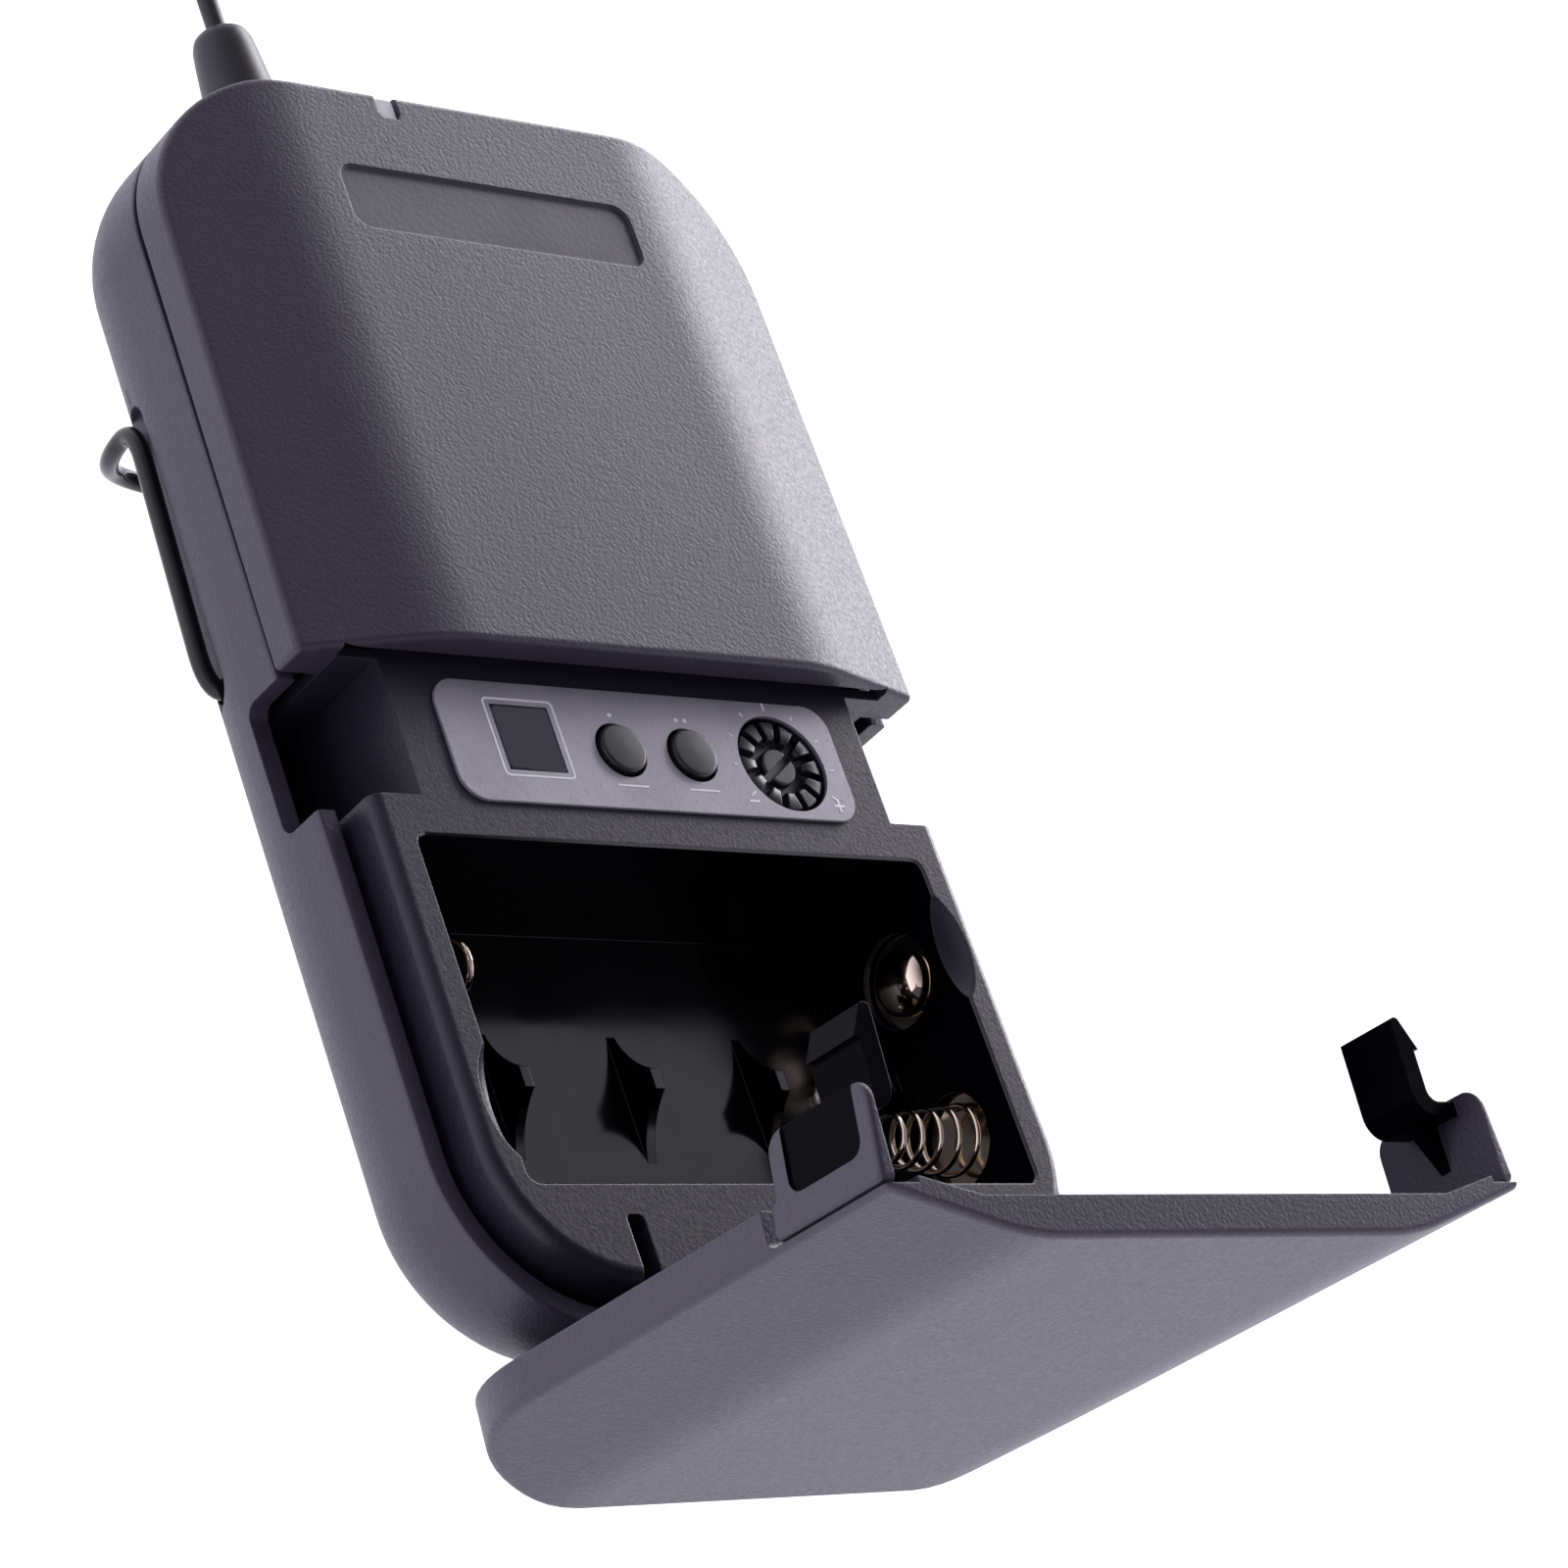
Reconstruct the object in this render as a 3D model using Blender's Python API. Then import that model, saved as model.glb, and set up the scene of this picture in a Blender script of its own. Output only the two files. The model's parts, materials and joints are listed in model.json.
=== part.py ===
"""Wireless bodypack transmitter: a belt-worn radio pack for a microphone, battery door open.

Frame: origin at the centre of the flat back, +X to the right seen from the front with the antenna up,
+Y towards the antenna end, +Z out of the front. Lengths below are millimetres; MM turns them into metres.
"""

import itertools
import math

import bmesh
import bpy
from mathutils import Matrix, Vector

MM = 0.001

# Case
HALF_LENGTH = 55.0
HALF_WIDTH = 32.0
TOP_NARROWING = 0.8  # how much each side comes in towards the antenna end
CROWN_Z = 21.0
CREASE_Z = 17.36
CROWN_HALF = 19.5  # half width of the flat front
RIM_Z = 13.7  # where the rear shell ends
COVER_Z = 14.1  # where the front cover and the door begin
HINGE_END_RADIUS = 14.8
ANTENNA_END_RADIUS = 13.0
BACK_RADIUS = 10.0
SIDE_WALL = 1.8
BACK_WALL = 1.6
COVER_WALL = 1.25
COVER_EDGE_Y = 1.1  # the cut edge of the front cover
DOOR_EDGE_Y = 0.7  # the free edge of the closed door
GAP = 0.3

# Inner frame
FRAME_INSET = 2.7
FRAME_Z = 17.0
FRAME_BOTTOM_Z = 1.9
FLOOR_Z = 2.7
CELL_RADIUS = 7.25  # AA cell, 14.5 mm across and 50.5 mm long
CELL_Y = (-36.8, -22.0)
CELL_Z = FLOOR_Z + CELL_RADIUS
BAY_Y = (-44.2, -14.6)
BAY_HALF = 26.0
CONTACT_X = 27.0  # middle of the contact plates, in slots behind the bay's end walls
SPRING_BASE_X = 26.4
SPRING_PITCH = 1.85
SPRING_WIDE_RADIUS = 2.9
SPRING_NARROW_RADIUS = 2.0
FIN_X = (-13.2, 0.0, 13.2)
PANEL_HALF = 24.3
POCKET_Y = (-10.8, 0.8)

# Door hinge
HINGE_Y = -49.9
HINGE_Z = 7.1
DOOR_OPEN = math.radians(96.0)
ARM_X = 17.2
ARM_THICKNESS = 1.0
RIM_CHAMFER = 0.35  # on the rear shell, and on the door inside, so that the door can swing
DOOR_CHAMFER = (0.65, 0.7)

# Controls on the panel
LABEL_CENTRE = (0.3, -5.9)
LABEL_HALF = (20.5, 5.5)
BUTTON_X = (-2.8, 4.6)
BUTTON_Y = -6.0
BUTTON_RADIUS = 2.2
KNOB_CENTRE = (14.2, -6.2)
KNOB_RADIUS = 4.2
WINDOW_CENTRE = (-12.0, -5.5)
WINDOW_HALF = (2.8, 2.9)
BOARD_Z = (9.4, 10.6)

# Antenna end
ANTENNA_XZ = (-14.0, 11.5)
WHIP_RADIUS = 0.85
WHIP_TIP_Y = 165.0
BOOT_TOP_Y = 67.0
CONNECTOR_XZ = (17.5, 10.5)
LED_X = -7.4
SWITCH_X = 3.6
SWITCH_Z = 8.5

# Belt clip
WIRE_RADIUS = 0.8
CLIP_PIVOT = (5.3, 4.8)  # y and z of the pivot line
CLIP_LOOP_Z = -5.0
CLIP_TOP_Y = 29.6


# ---------------------------------------------------------------- helpers

def clear_scene():
    for obj in list(bpy.data.objects):
        bpy.data.objects.remove(obj, do_unlink=True)


def material(name, colour, roughness, metallic=0.0):
    made = bpy.data.materials.new(name)
    made.use_nodes = True
    shader = made.node_tree.nodes["Principled BSDF"]
    shader.inputs["Base Color"].default_value = (*colour, 1.0)
    shader.inputs["Roughness"].default_value = roughness
    shader.inputs["Metallic"].default_value = metallic
    return made


def add_object(name, verts, faces, look=None, smooth=False):
    """A mesh object from points in millimetres."""
    mesh = bpy.data.meshes.new(name)
    mesh.from_pydata([Vector(v) * MM for v in verts], [], faces)
    bm = bmesh.new()
    bm.from_mesh(mesh)
    bmesh.ops.recalc_face_normals(bm, faces=bm.faces)
    bm.to_mesh(mesh)
    bm.free()
    if smooth:
        mesh.shade_smooth()
        mesh.set_sharp_from_angle(angle=math.radians(35))
    if look:
        mesh.materials.append(look)
    obj = bpy.data.objects.new(name, mesh)
    bpy.context.scene.collection.objects.link(obj)
    return obj


def loft(name, rings, look=None, smooth=False, split=False):
    """A closed solid through equally long rings of points, capped at both ends. Split halves side faces."""
    count = len(rings[0])
    verts = [point for ring in rings for point in ring]
    faces = [list(range(count)), list(range(len(verts) - count, len(verts)))]
    for k in range(len(rings) - 1):
        for i in range(count):
            j = (i + 1) % count
            corners = [k * count + i, k * count + j, (k + 1) * count + j, (k + 1) * count + i]
            faces.extend([corners[:3], [*corners[2:], corners[0]]] if split else [corners])
    return add_object(name, verts, faces, look, smooth)


def box(name, low, high, look=None):
    (x0, y0, z0), (x1, y1, z1) = low, high
    ring = [(x0, y0), (x1, y0), (x1, y1), (x0, y1)]
    return loft(name, [[(x, y, z) for x, y in ring] for z in (z0, z1)], look)


def prism(name, outline, start, end, axis="z", look=None, smooth=False):
    """An outline extruded along an axis. Its two numbers are the other two axes, in X, Y, Z order."""
    place = {
        "x": lambda a, b, t: (t, a, b),
        "y": lambda a, b, t: (a, t, b),
        "z": lambda a, b, t: (a, b, t),
    }[axis]
    rings = [[place(a, b, t) for a, b in outline] for t in (start, end)]
    return loft(name, rings, look, smooth)


def arc(centre, radius, start, end, steps):
    """Points along an arc, angles in degrees."""
    angles = [math.radians(start + (end - start) * k / steps) for k in range(steps + 1)]
    return [(centre[0] + radius * math.cos(a), centre[1] + radius * math.sin(a)) for a in angles]


def quarter(radius, steps):
    """A rounded edge from the side wall to the face: how far it is in from the wall, then from the face."""
    angles = [math.pi / 2 * k / steps for k in range(steps + 1)]
    return [(radius * (1 - math.cos(a)), radius * (1 - math.sin(a))) for a in angles]


def circle(centre, radius, sides=24):
    return arc(centre, radius, 0, 360 - 360 / sides, sides - 1)


def round_box_outline(low, high, radius, steps=4):
    (x0, y0), (x1, y1) = low, high
    r = radius
    centres = [(x1 - r, y1 - r), (x0 + r, y1 - r), (x0 + r, y0 + r), (x1 - r, y0 + r)]
    corners = zip(centres, (0, 90, 180, 270))
    return [p for centre, start in corners for p in arc(centre, r, start, start + 90, steps)]


def rod(name, centre, radius, start, end, axis="z", sides=24, look=None):
    return prism(name, circle(centre, radius, sides), start, end, axis, look, smooth=True)


def turned(name, profile, centre, axis="z", sides=24, look=None):
    """A solid of revolution. The profile is (radius, place along the axis) from one end to the other."""
    place = {
        "x": lambda a, b, t: (t, a, b),
        "y": lambda a, b, t: (a, t, b),
        "z": lambda a, b, t: (a, b, t),
    }[axis]
    rings = [[place(a, b, t) for a, b in circle(centre, radius, sides)] for radius, t in profile]
    return loft(name, rings, look, smooth=True)


def tube(name, points, radius, look, resolution=2):
    """A round wire along points in millimetres, with filled ends."""
    curve = bpy.data.curves.new(name, "CURVE")
    curve.dimensions = "3D"
    curve.bevel_depth = radius * MM
    curve.bevel_resolution = resolution
    curve.use_fill_caps = True
    spline = curve.splines.new("POLY")
    spline.points.add(len(points) - 1)
    for point, place in zip(spline.points, points):
        point.co = (*(Vector(place) * MM), 1.0)
    curve.materials.append(look)
    obj = bpy.data.objects.new(name, curve)
    bpy.context.scene.collection.objects.link(obj)
    return obj


def rounded_path(corners, radius, steps=5):
    """A path with its corners rounded by quadratic curves that start and end this far from each corner."""
    path = [Vector(corners[0])]
    for before, corner, after in zip(corners, corners[1:], corners[2:]):
        before, corner, after = Vector(before), Vector(corner), Vector(after)
        reach_in = min(radius, (before - corner).length * 0.49)
        reach_out = min(radius, (after - corner).length * 0.49)
        start = corner + (before - corner).normalized() * reach_in
        end = corner + (after - corner).normalized() * reach_out
        for k in range(steps + 1):
            t = k / steps
            path.append((1 - t) ** 2 * start + 2 * t * (1 - t) * corner + t * t * end)
    path.append(Vector(corners[-1]))
    return path


def combine(obj, others, operation):
    """Booleans that stay on the object as modifiers. The others become hidden helpers."""
    for other in others:
        modifier = obj.modifiers.new(operation.title(), "BOOLEAN")
        modifier.operation = operation
        modifier.solver = "EXACT"
        modifier.object = other
        other.hide_render = True
        other.display_type = "WIRE"


def cut(obj, *cutters):
    combine(obj, cutters, "DIFFERENCE")


def join(obj, *others):
    combine(obj, others, "UNION")


def keep(obj, other):
    combine(obj, [other], "INTERSECT")


def mirrored(make):
    """Calls make with -1 for the left side and 1 for the right side."""
    return [make(side) for side in (-1, 1)]


def span(side, inner, outer):
    """The X range from inner to outer on one side, lowest first."""
    return sorted((side * inner, side * outer))


# ---------------------------------------------------------------- case shapes

def case_outline(inset=0.0, steps=6):
    """The case seen from the front, from the right side round past the antenna end, moved in by inset."""
    half_x = HALF_WIDTH - inset
    half_y = HALF_LENGTH - inset
    top = max(ANTENNA_END_RADIUS - inset, 0.6)
    low = max(HINGE_END_RADIUS - inset, 0.6)
    outline = [
        *arc((half_x - top, half_y - top), top, 0, 90, steps),
        *arc((top - half_x, half_y - top), top, 90, 180, steps),
        *arc((low - half_x, low - half_y), low, 180, 270, steps),
        *arc((half_x - low, low - half_y), low, 270, 360, steps),
    ]
    return [(x * (1 - TOP_NARROWING / HALF_WIDTH * max(0.0, y / HALF_LENGTH)), y) for x, y in outline]


def crown_profile(drop=0.0):
    """The front's cross-section in X and Z: a flat crown with two slopes, lowered by drop."""
    slope = (CROWN_Z - CREASE_Z) / (HALF_WIDTH - CROWN_HALF)
    reach = HALF_WIDTH + 4
    edge_z = CREASE_Z - slope * 4 - drop
    blend = 3.0  # half width of the soft change from the flat to the slope
    half = CROWN_HALF
    right = []
    for k in range(5):
        t = k / 4
        right.append((half - blend + 2 * blend * t, CROWN_Z - drop - slope * blend * t * t))
    return [(reach, edge_z), *reversed(right), *[(-x, z) for x, z in right], (-reach, edge_z)]


def below_crown(name, low_z, drop=0.0, y_range=(-60, 60)):
    """A solid below the crown line and above low_z."""
    outline = crown_profile(drop)
    outline = [*outline, (outline[-1][0], low_z), (outline[0][0], low_z)]
    return prism(name, outline, *y_range, axis="y")


def crowned_shell(name, y_range, look):
    """The curved skin of the front, open at the back, between two Y values."""
    shell = prism(name, case_outline(), COVER_Z, CROWN_Z + 1, "z", look, smooth=True)
    keep(shell, below_crown(name + "_crown", COVER_Z - 1, y_range=y_range))
    hollow = prism(name + "_hollow", case_outline(COVER_WALL), COVER_Z - 1, CROWN_Z, "z")
    keep(hollow, below_crown(name + "_hollow_crown", COVER_Z - 2, COVER_WALL * 1.04))
    chamfer_in, chamfer_up = DOOR_CHAMFER
    levels = [
        (COVER_WALL - chamfer_in - 0.07, COVER_Z - 0.07),
        (COVER_WALL + 0.07, COVER_Z + chamfer_up + 0.07),
    ]
    chamfer = loft(name + "_chamfer", [[(x, y, z) for x, y in case_outline(inset)] for inset, z in levels],
                   split=True)
    cut(shell, hollow, chamfer)
    return shell


# ---------------------------------------------------------------- casing

def make_rear_shell(look):
    steps = 6
    outer = [(RIM_CHAMFER, RIM_Z), (0.0, RIM_Z - RIM_CHAMFER), *quarter(BACK_RADIUS, steps)]
    inner_radius = BACK_RADIUS - SIDE_WALL
    inner = [(SIDE_WALL, RIM_Z), *[(SIDE_WALL + x, BACK_WALL + z) for x, z in quarter(inner_radius, steps)]]
    levels = [*reversed(outer), *inner]
    rings = [[(x, y, z) for x, y in case_outline(inset)] for inset, z in levels]
    shell = loft("rear_shell", rings, look, smooth=True, split=True)

    def clip_backing(side):
        """The wall behind the clip's recess. Its lower corner follows the case's rounded back."""
        curve = arc((HALF_WIDTH - BACK_RADIUS, BACK_RADIUS), BACK_RADIUS - 0.4, -27, -54, 5)
        outline = [(27.6, 9.1), (30.6, 9.1), *curve]
        return prism("clip_backing", [(side * x, z) for x, z in outline], 2.2, 33.0, "y")

    def standoff(side):
        return rod("standoff", (side * 24.0, 12.0), 2.3, 1.0, BOARD_Z[0] - GAP, sides=16)

    def screw_boss(side):
        return rod("screw_boss", (side * 18.5, 36.0), 3.4, 1.0, 7.2, sides=20)

    def catch_ledge(side):
        x0, x1 = span(side, 28.95, 30.6)
        return box("catch_ledge", (x0, -8.2, 5.6), (x1, -1.2, 6.8))

    seat = rod("connector_seat", CONNECTOR_XZ, 6.9, 51.0, HALF_LENGTH, "y", 28)
    keep(seat, box("seat_limit", (0.0, 50.0, 0.0), (30.0, 56.0, RIM_Z)))
    join(shell, *mirrored(clip_backing), *mirrored(standoff), *mirrored(screw_boss))
    join(shell, *mirrored(catch_ledge), seat)

    def latch_notch(side):
        x0, x1 = span(side, 28.0, 34.0)
        outline = round_box_outline((POCKET_Y[0], 9.2), (POCKET_Y[1], 20.0), 1.2)
        return prism("latch_notch", outline, x0, x1, "x")

    def clip_recess(side):
        x0, x1 = span(side, 29.4, 34.0)
        outline = round_box_outline((3.4, -8.0), (31.2, 7.4), 1.9)
        return prism("clip_recess", outline, x0, x1, "x")

    def clip_pivot_hole(side):
        x0, x1 = span(side, 26.0, 30.3)
        return rod("clip_pivot_hole", CLIP_PIVOT, 1.1, x0, x1, "x", 18)

    def screw_hole(x, y):
        return [
            rod("screw_sink", (x, y), 2.6, -1.0, 1.15, sides=20),
            rod("screw_hole", (x, y), 1.3, -1.0, 9.0, sides=16),
        ]

    def board_hole(side):
        return rod("board_hole", (side * 24.0, 12.0), 0.9, 3.0, 12.0, sides=12)

    def arm_slot(side):
        x0, x1 = span(side, ARM_X - 0.85, ARM_X + 0.85)
        return box("arm_slot", (x0, -56.0, 4.0), (x1, -50.0, 20.0))

    def hook_relief(side):
        """Room for the latch's hook at the foot of its pocket."""
        outline = [(24.6, 2.3), (27.5, 2.3), (28.9, 4.6), (28.9, 12.0), (24.6, 12.0)]
        return prism("hook_relief", [(side * x, z) for x, z in outline], -8.4, -1.0, "y")

    cut(shell, *mirrored(latch_notch), *mirrored(clip_recess))
    cut(shell, *mirrored(clip_pivot_hole), *mirrored(board_hole))
    cut(shell, *mirrored(hook_relief))
    for side in (-1, 1):
        cut(shell, *screw_hole(side * 18.5, 36.0), *screw_hole(side * 13.5, -12.9))
    cut(shell, *mirrored(arm_slot), *antenna_end_holes("rear"))
    return shell


def antenna_end_holes(owner):
    """Cutters through the end wall for the antenna boot, the connector and the power switch."""
    x0, x1 = SWITCH_X - 4.4, SWITCH_X + 4.4
    slot = round_box_outline((x0, SWITCH_Z - 1.7), (x1, SWITCH_Z + 1.7), 0.6)
    return [
        rod(owner + "_boot_hole", ANTENNA_XZ, 3.3, 50.0, 58.0, "y", 24),
        rod(owner + "_connector_hole", CONNECTOR_XZ, 5.3, 50.0, 58.0, "y", 28),
        prism(owner + "_switch_slot", slot, 50.0, 58.0, "y"),
    ]


def make_front_cover(look):
    cover = crowned_shell("front_cover", (COVER_EDGE_Y, 60.0), look)
    lip = box("cover_lip", (-30.0, COVER_EDGE_Y, 18.2), (30.0, COVER_EDGE_Y + 1.3, 22.0))
    keep(lip, below_crown("cover_lip_crown", 15.0, 0.3))

    def boss(side):
        return turned("cover_boss", [(2.7, 7.6), (2.7, 20.3)], (side * 18.5, 36.0), sides=20)

    join(cover, lip, *mirrored(boss))

    def pilot(side):
        return rod("cover_pilot", (side * 18.5, 36.0), 1.1, 6.0, 17.5, sides=12)

    led_notch = box("led_notch", (LED_X - 1.15, 52.5, 12.0), (LED_X + 1.15, 57.0, 24.0))
    badge_outline = round_box_outline((-15.0, 40.6), (15.6, 47.0), 1.6)
    badge = prism("badge_recess", badge_outline, CROWN_Z - 0.3, CROWN_Z + 1)
    cut(cover, *mirrored(pilot), led_notch, badge, *antenna_end_holes("cover"))
    return cover


# ---------------------------------------------------------------- inner frame

def make_chassis(look):
    steps = 5
    radius = 1.1
    low = [(FRAME_INSET + edge_x, FRAME_BOTTOM_Z + edge_z) for edge_x, edge_z in quarter(7.0, steps)]
    top = [(FRAME_INSET + edge_x, FRAME_Z - edge_z) for edge_x, edge_z in quarter(radius, steps)]
    rings = [[(x, y, z) for x, y in case_outline(inset)] for inset, z in [*reversed(low), *top]]
    chassis = loft("chassis", rings, look, smooth=True, split=True)
    above_bay = box("above_bay", (-40.0, POCKET_Y[0] - 0.3, -5.0), (40.0, 60.0, 30.0))
    cut(chassis, above_bay)
    panel = box("panel", (-PANEL_HALF, -12.0, 15.4), (PANEL_HALF, 4.0, FRAME_Z))

    def cheek(side):
        x0, x1 = span(side, PANEL_HALF - 1.2, PANEL_HALF)
        return box("cheek", (x0, -12.0, FRAME_BOTTOM_Z + 0.6), (x1, 1.9, FRAME_Z))

    def pocket_end(side):
        x0, x1 = span(side, PANEL_HALF - 0.6, 28.2)
        return box("pocket_end", (x0, 1.0, FRAME_BOTTOM_Z + 3.0), (x1, 1.9, FRAME_Z))

    join(chassis, panel, *mirrored(cheek), *mirrored(pocket_end))

    bay = prism("bay", round_box_outline((-BAY_HALF, BAY_Y[0]), (BAY_HALF, BAY_Y[1]), 1.0), FLOOR_Z - 1, 20.0)
    right = [(25.0, FLOOR_Z), (BAY_HALF + 0.1, FLOOR_Z + 1.3), (BAY_HALF + 0.1, 21.0)]
    keep(bay, prism("bay_section", [*right, *[(-x, z) for x, z in reversed(right)]], -50.0, -10.0, "y"))

    def contact_slot(side):
        """A slot for the contact plates, open to the bay through a round hole at each cell's end."""
        x0, x1 = span(side, CONTACT_X - 0.4, CONTACT_X + 0.4)
        low_y, high_y = CELL_Y[0] - 5.0, CELL_Y[1] + 5.0
        slot = box("contact_slot", (x0, low_y, CELL_Z - 5.6), (x1, high_y, CELL_Z + 4.15))
        x0, x1 = span(side, BAY_HALF - 1.0, CONTACT_X)
        join(slot, *[rod("contact_hole", (y, CELL_Z), 4.0, x0, x1, "x", 20) for y in CELL_Y])
        return slot

    def scoop(side):
        """A finger scoop in the rim beside the positive end of each cell."""
        y = CELL_Y[1] - 0.6 if side > 0 else CELL_Y[0] - 0.6
        depth, half_x, half_y = 2.9, 3.95, 6.0
        bowl = [(math.sin(math.radians(a)), 18.0 - depth * math.cos(math.radians(a))) for a in range(5, 96, 18)]
        round_points = circle((0, 0), 1.0, 20)
        rings = [[(side * (24.2 + half_x * share * a), y + half_y * share * b, z) for a, b in round_points]
                 for share, z in [*bowl, (1.0, 20.0)]]
        return loft("scoop", rings)

    def arm_slot(side):
        x0, x1 = span(side, ARM_X - 0.85, ARM_X + 0.85)
        return box("frame_arm_slot", (x0, -56.0, 4.0), (x1, -46.9, 20.0))

    def pin_bore(side):
        x0, x1 = span(side, 14.2, 20.2)
        return rod("pin_bore", (HINGE_Y, HINGE_Z), 1.0, x0, x1, "x", 16)

    def case_pilot(side):
        return rod("case_pilot", (side * 13.5, -12.9), 1.3, 0.0, 9.5, sides=12)

    cut(chassis, bay, *mirrored(contact_slot), *mirrored(scoop))
    cut(chassis, *mirrored(arm_slot), *mirrored(pin_bore), *mirrored(case_pilot))

    cut(chassis, *control_holes("frame", 0.2))

    def fin(x):
        """A low divider between the two cells, hollowed to fit them."""
        middle = (CELL_Y[0] + CELL_Y[1]) / 2
        fit = CELL_RADIUS + 0.2
        left = arc((CELL_Y[0], CELL_Z), fit, -80, -29, 6)
        right = arc((CELL_Y[1], CELL_Z), fit, 209, 260, 6)
        outline = [(middle - 6.1, FLOOR_Z - 0.3), *left, *right, (middle + 6.1, FLOOR_Z - 0.3)]
        return prism("fin", outline, x - 0.45, x + 0.45, "x")

    def end_fin(side):
        """The same divider where it runs into the bay's end wall."""
        made = fin(side * 25.6)
        foot = [(24.0, FLOOR_Z - 0.1), (25.2, FLOOR_Z - 0.1), (26.3, 3.9), (26.3, 12.0), (24.0, 12.0)]
        keep(made, prism("fin_foot", [(side * x, z) for x, z in foot], -40.0, -20.0, "y"))
        return made

    join(chassis, *[fin(x) for x in FIN_X], *mirrored(end_fin))
    return chassis


def control_holes(owner, window_gap):
    """Cutters for the window, the two buttons and the knob."""
    (wx, wy), hx, hy = WINDOW_CENTRE, WINDOW_HALF[0] + window_gap, WINDOW_HALF[1] + window_gap
    window = box(owner + "_window_hole", (wx - hx, wy - hy, 14.0), (wx + hx, wy + hy, 18.0))
    radius = BUTTON_RADIUS + GAP
    buttons = [rod(owner + "_button_hole", (x, BUTTON_Y), radius, 14.0, 18.0, sides=20) for x in BUTTON_X]
    return [window, *buttons, rod(owner + "_knob_hole", KNOB_CENTRE, KNOB_RADIUS + GAP, 14.0, 18.0, sides=28)]


def make_control_label(look):
    cx, cy = LABEL_CENTRE
    hx, hy = LABEL_HALF
    label = prism("control_label", round_box_outline((cx - hx, cy - hy), (cx + hx, cy + hy), 2.4, 5),
                  FRAME_Z + 0.05, FRAME_Z + 0.35, "z", look)
    cut(label, *control_holes("label", 0.1))
    return label


def make_controls(looks):
    (wx, wy), (hx, hy) = WINDOW_CENTRE, WINDOW_HALF
    box("display_window", (wx - hx, wy - hy, 16.6), (wx + hx, wy + hy, FRAME_Z + 0.4), looks["window"])
    over_board = BOARD_Z[1] + 0.1
    box("display_module", (wx - 4.2, wy - 4.4, over_board), (wx + 4.2, wy + 4.4, 15.0), looks["component"])
    for name, x in zip(("group", "channel"), BUTTON_X):
        flange = [(2.8, 13.7), (2.8, 14.8)]
        profile = [*flange, (BUTTON_RADIUS, 14.8), (BUTTON_RADIUS, 17.5), (1.9, 17.8), (1.2, 17.95)]
        turned(name + "_button", profile, (x, BUTTON_Y), sides=20, look=looks["button"])
        body = box(name + "_switch", (x - 2.4, BUTTON_Y - 2.4, over_board), (x + 2.4, BUTTON_Y + 2.4, 12.5),
                   looks["component"])
        join(body, rod("plunger", (x, BUTTON_Y), 1.1, 12.0, 13.1, sides=12))
    make_gain_knob(looks["button"])
    cx, cy = KNOB_CENTRE
    pot = box("gain_potentiometer", (cx - 4.5, cy - 4.4, BOARD_Z[1] + 0.1), (cx + 4.5, cy + 4.4, 12.8),
              looks["component"])
    join(pot, rod("pot_shaft", KNOB_CENTRE, 1.2, 12.0, 15.0, sides=12))


def make_gain_knob(look):
    """A recessed thumb disc with a castellated rim and a driver slot, turned with a fingertip."""
    teeth = 12
    knob = turned("gain_knob", [(KNOB_RADIUS, 13.6), (KNOB_RADIUS, 17.1)], KNOB_CENTRE, sides=36, look=look)
    dish = rod("knob_dish", KNOB_CENTRE, 2.5, 16.2, 18, sides=24)
    cutters = [dish, rod("knob_bore", KNOB_CENTRE, 1.5, 13, 15.4, sides=12)]
    for k in range(teeth):
        tooth_gap = box("tooth_gap", (2.2, -0.38, 16.2), (5.2, 0.38, 18.0))
        tooth_gap.matrix_world = turn_about_z(KNOB_CENTRE, 360 / teeth * k + 15)
        cutters.append(tooth_gap)
    cut(knob, *cutters)
    hub = rod("knob_hub", KNOB_CENTRE, 1.7, 15.8, 16.9, sides=20)
    slot = box("knob_slot", (-2.0, -0.35, 16.3), (2.0, 0.35, 18.0))
    slot.matrix_world = turn_about_z(KNOB_CENTRE, 35)
    join(knob, hub)
    cut(knob, slot)
    set_origin(knob, (*KNOB_CENTRE, 13.6))
    return knob


def turn_about_z(centre, degrees):
    """The matrix that turns by degrees and then moves to centre."""
    return Matrix.Translation(Vector((*centre, 0.0)) * MM) @ Matrix.Rotation(math.radians(degrees), 4, "Z")


def set_origin(obj, place):
    """Moves the object's origin, and not its shape."""
    offset = Vector(place) * MM
    obj.data.transform(Matrix.Translation(-offset))
    obj.location = offset


# ---------------------------------------------------------------- battery contacts

def make_battery_contacts(looks):
    nickel = looks["nickel"]
    half, z0, z1 = 4.6, CELL_Z - 5.2, CELL_Z + 3.85
    near, far = CONTACT_X - 0.1, CONTACT_X + 0.1
    series = box("series_contact_plate", (near, CELL_Y[0] - half, z0), (far, CELL_Y[1] + half, z1), nickel)
    join(series, contact_dome("series_dome", 1, CELL_Y[1]))
    box("negative_terminal_plate", (-far, CELL_Y[1] - half, z0), (-near, CELL_Y[1] + half, z1), nickel)
    positive_low = (-far, CELL_Y[0] - half, z0)
    positive = box("positive_terminal_plate", positive_low, (-near, CELL_Y[0] + half, z1), nickel)
    join(positive, contact_dome("positive_dome", -1, CELL_Y[0]))
    make_spring("lower_cell_spring", 1, CELL_Y[0], 4.5, nickel)
    make_spring("upper_cell_spring", -1, CELL_Y[1], 3.75, nickel)
    head = [(1.6, FLOOR_Z + 0.05), (1.6, FLOOR_Z + 0.4), (0.9, FLOOR_Z + 0.75)]
    turned("compartment_screw", head, (21.0, -29.4), sides=16, look=nickel)


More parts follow.
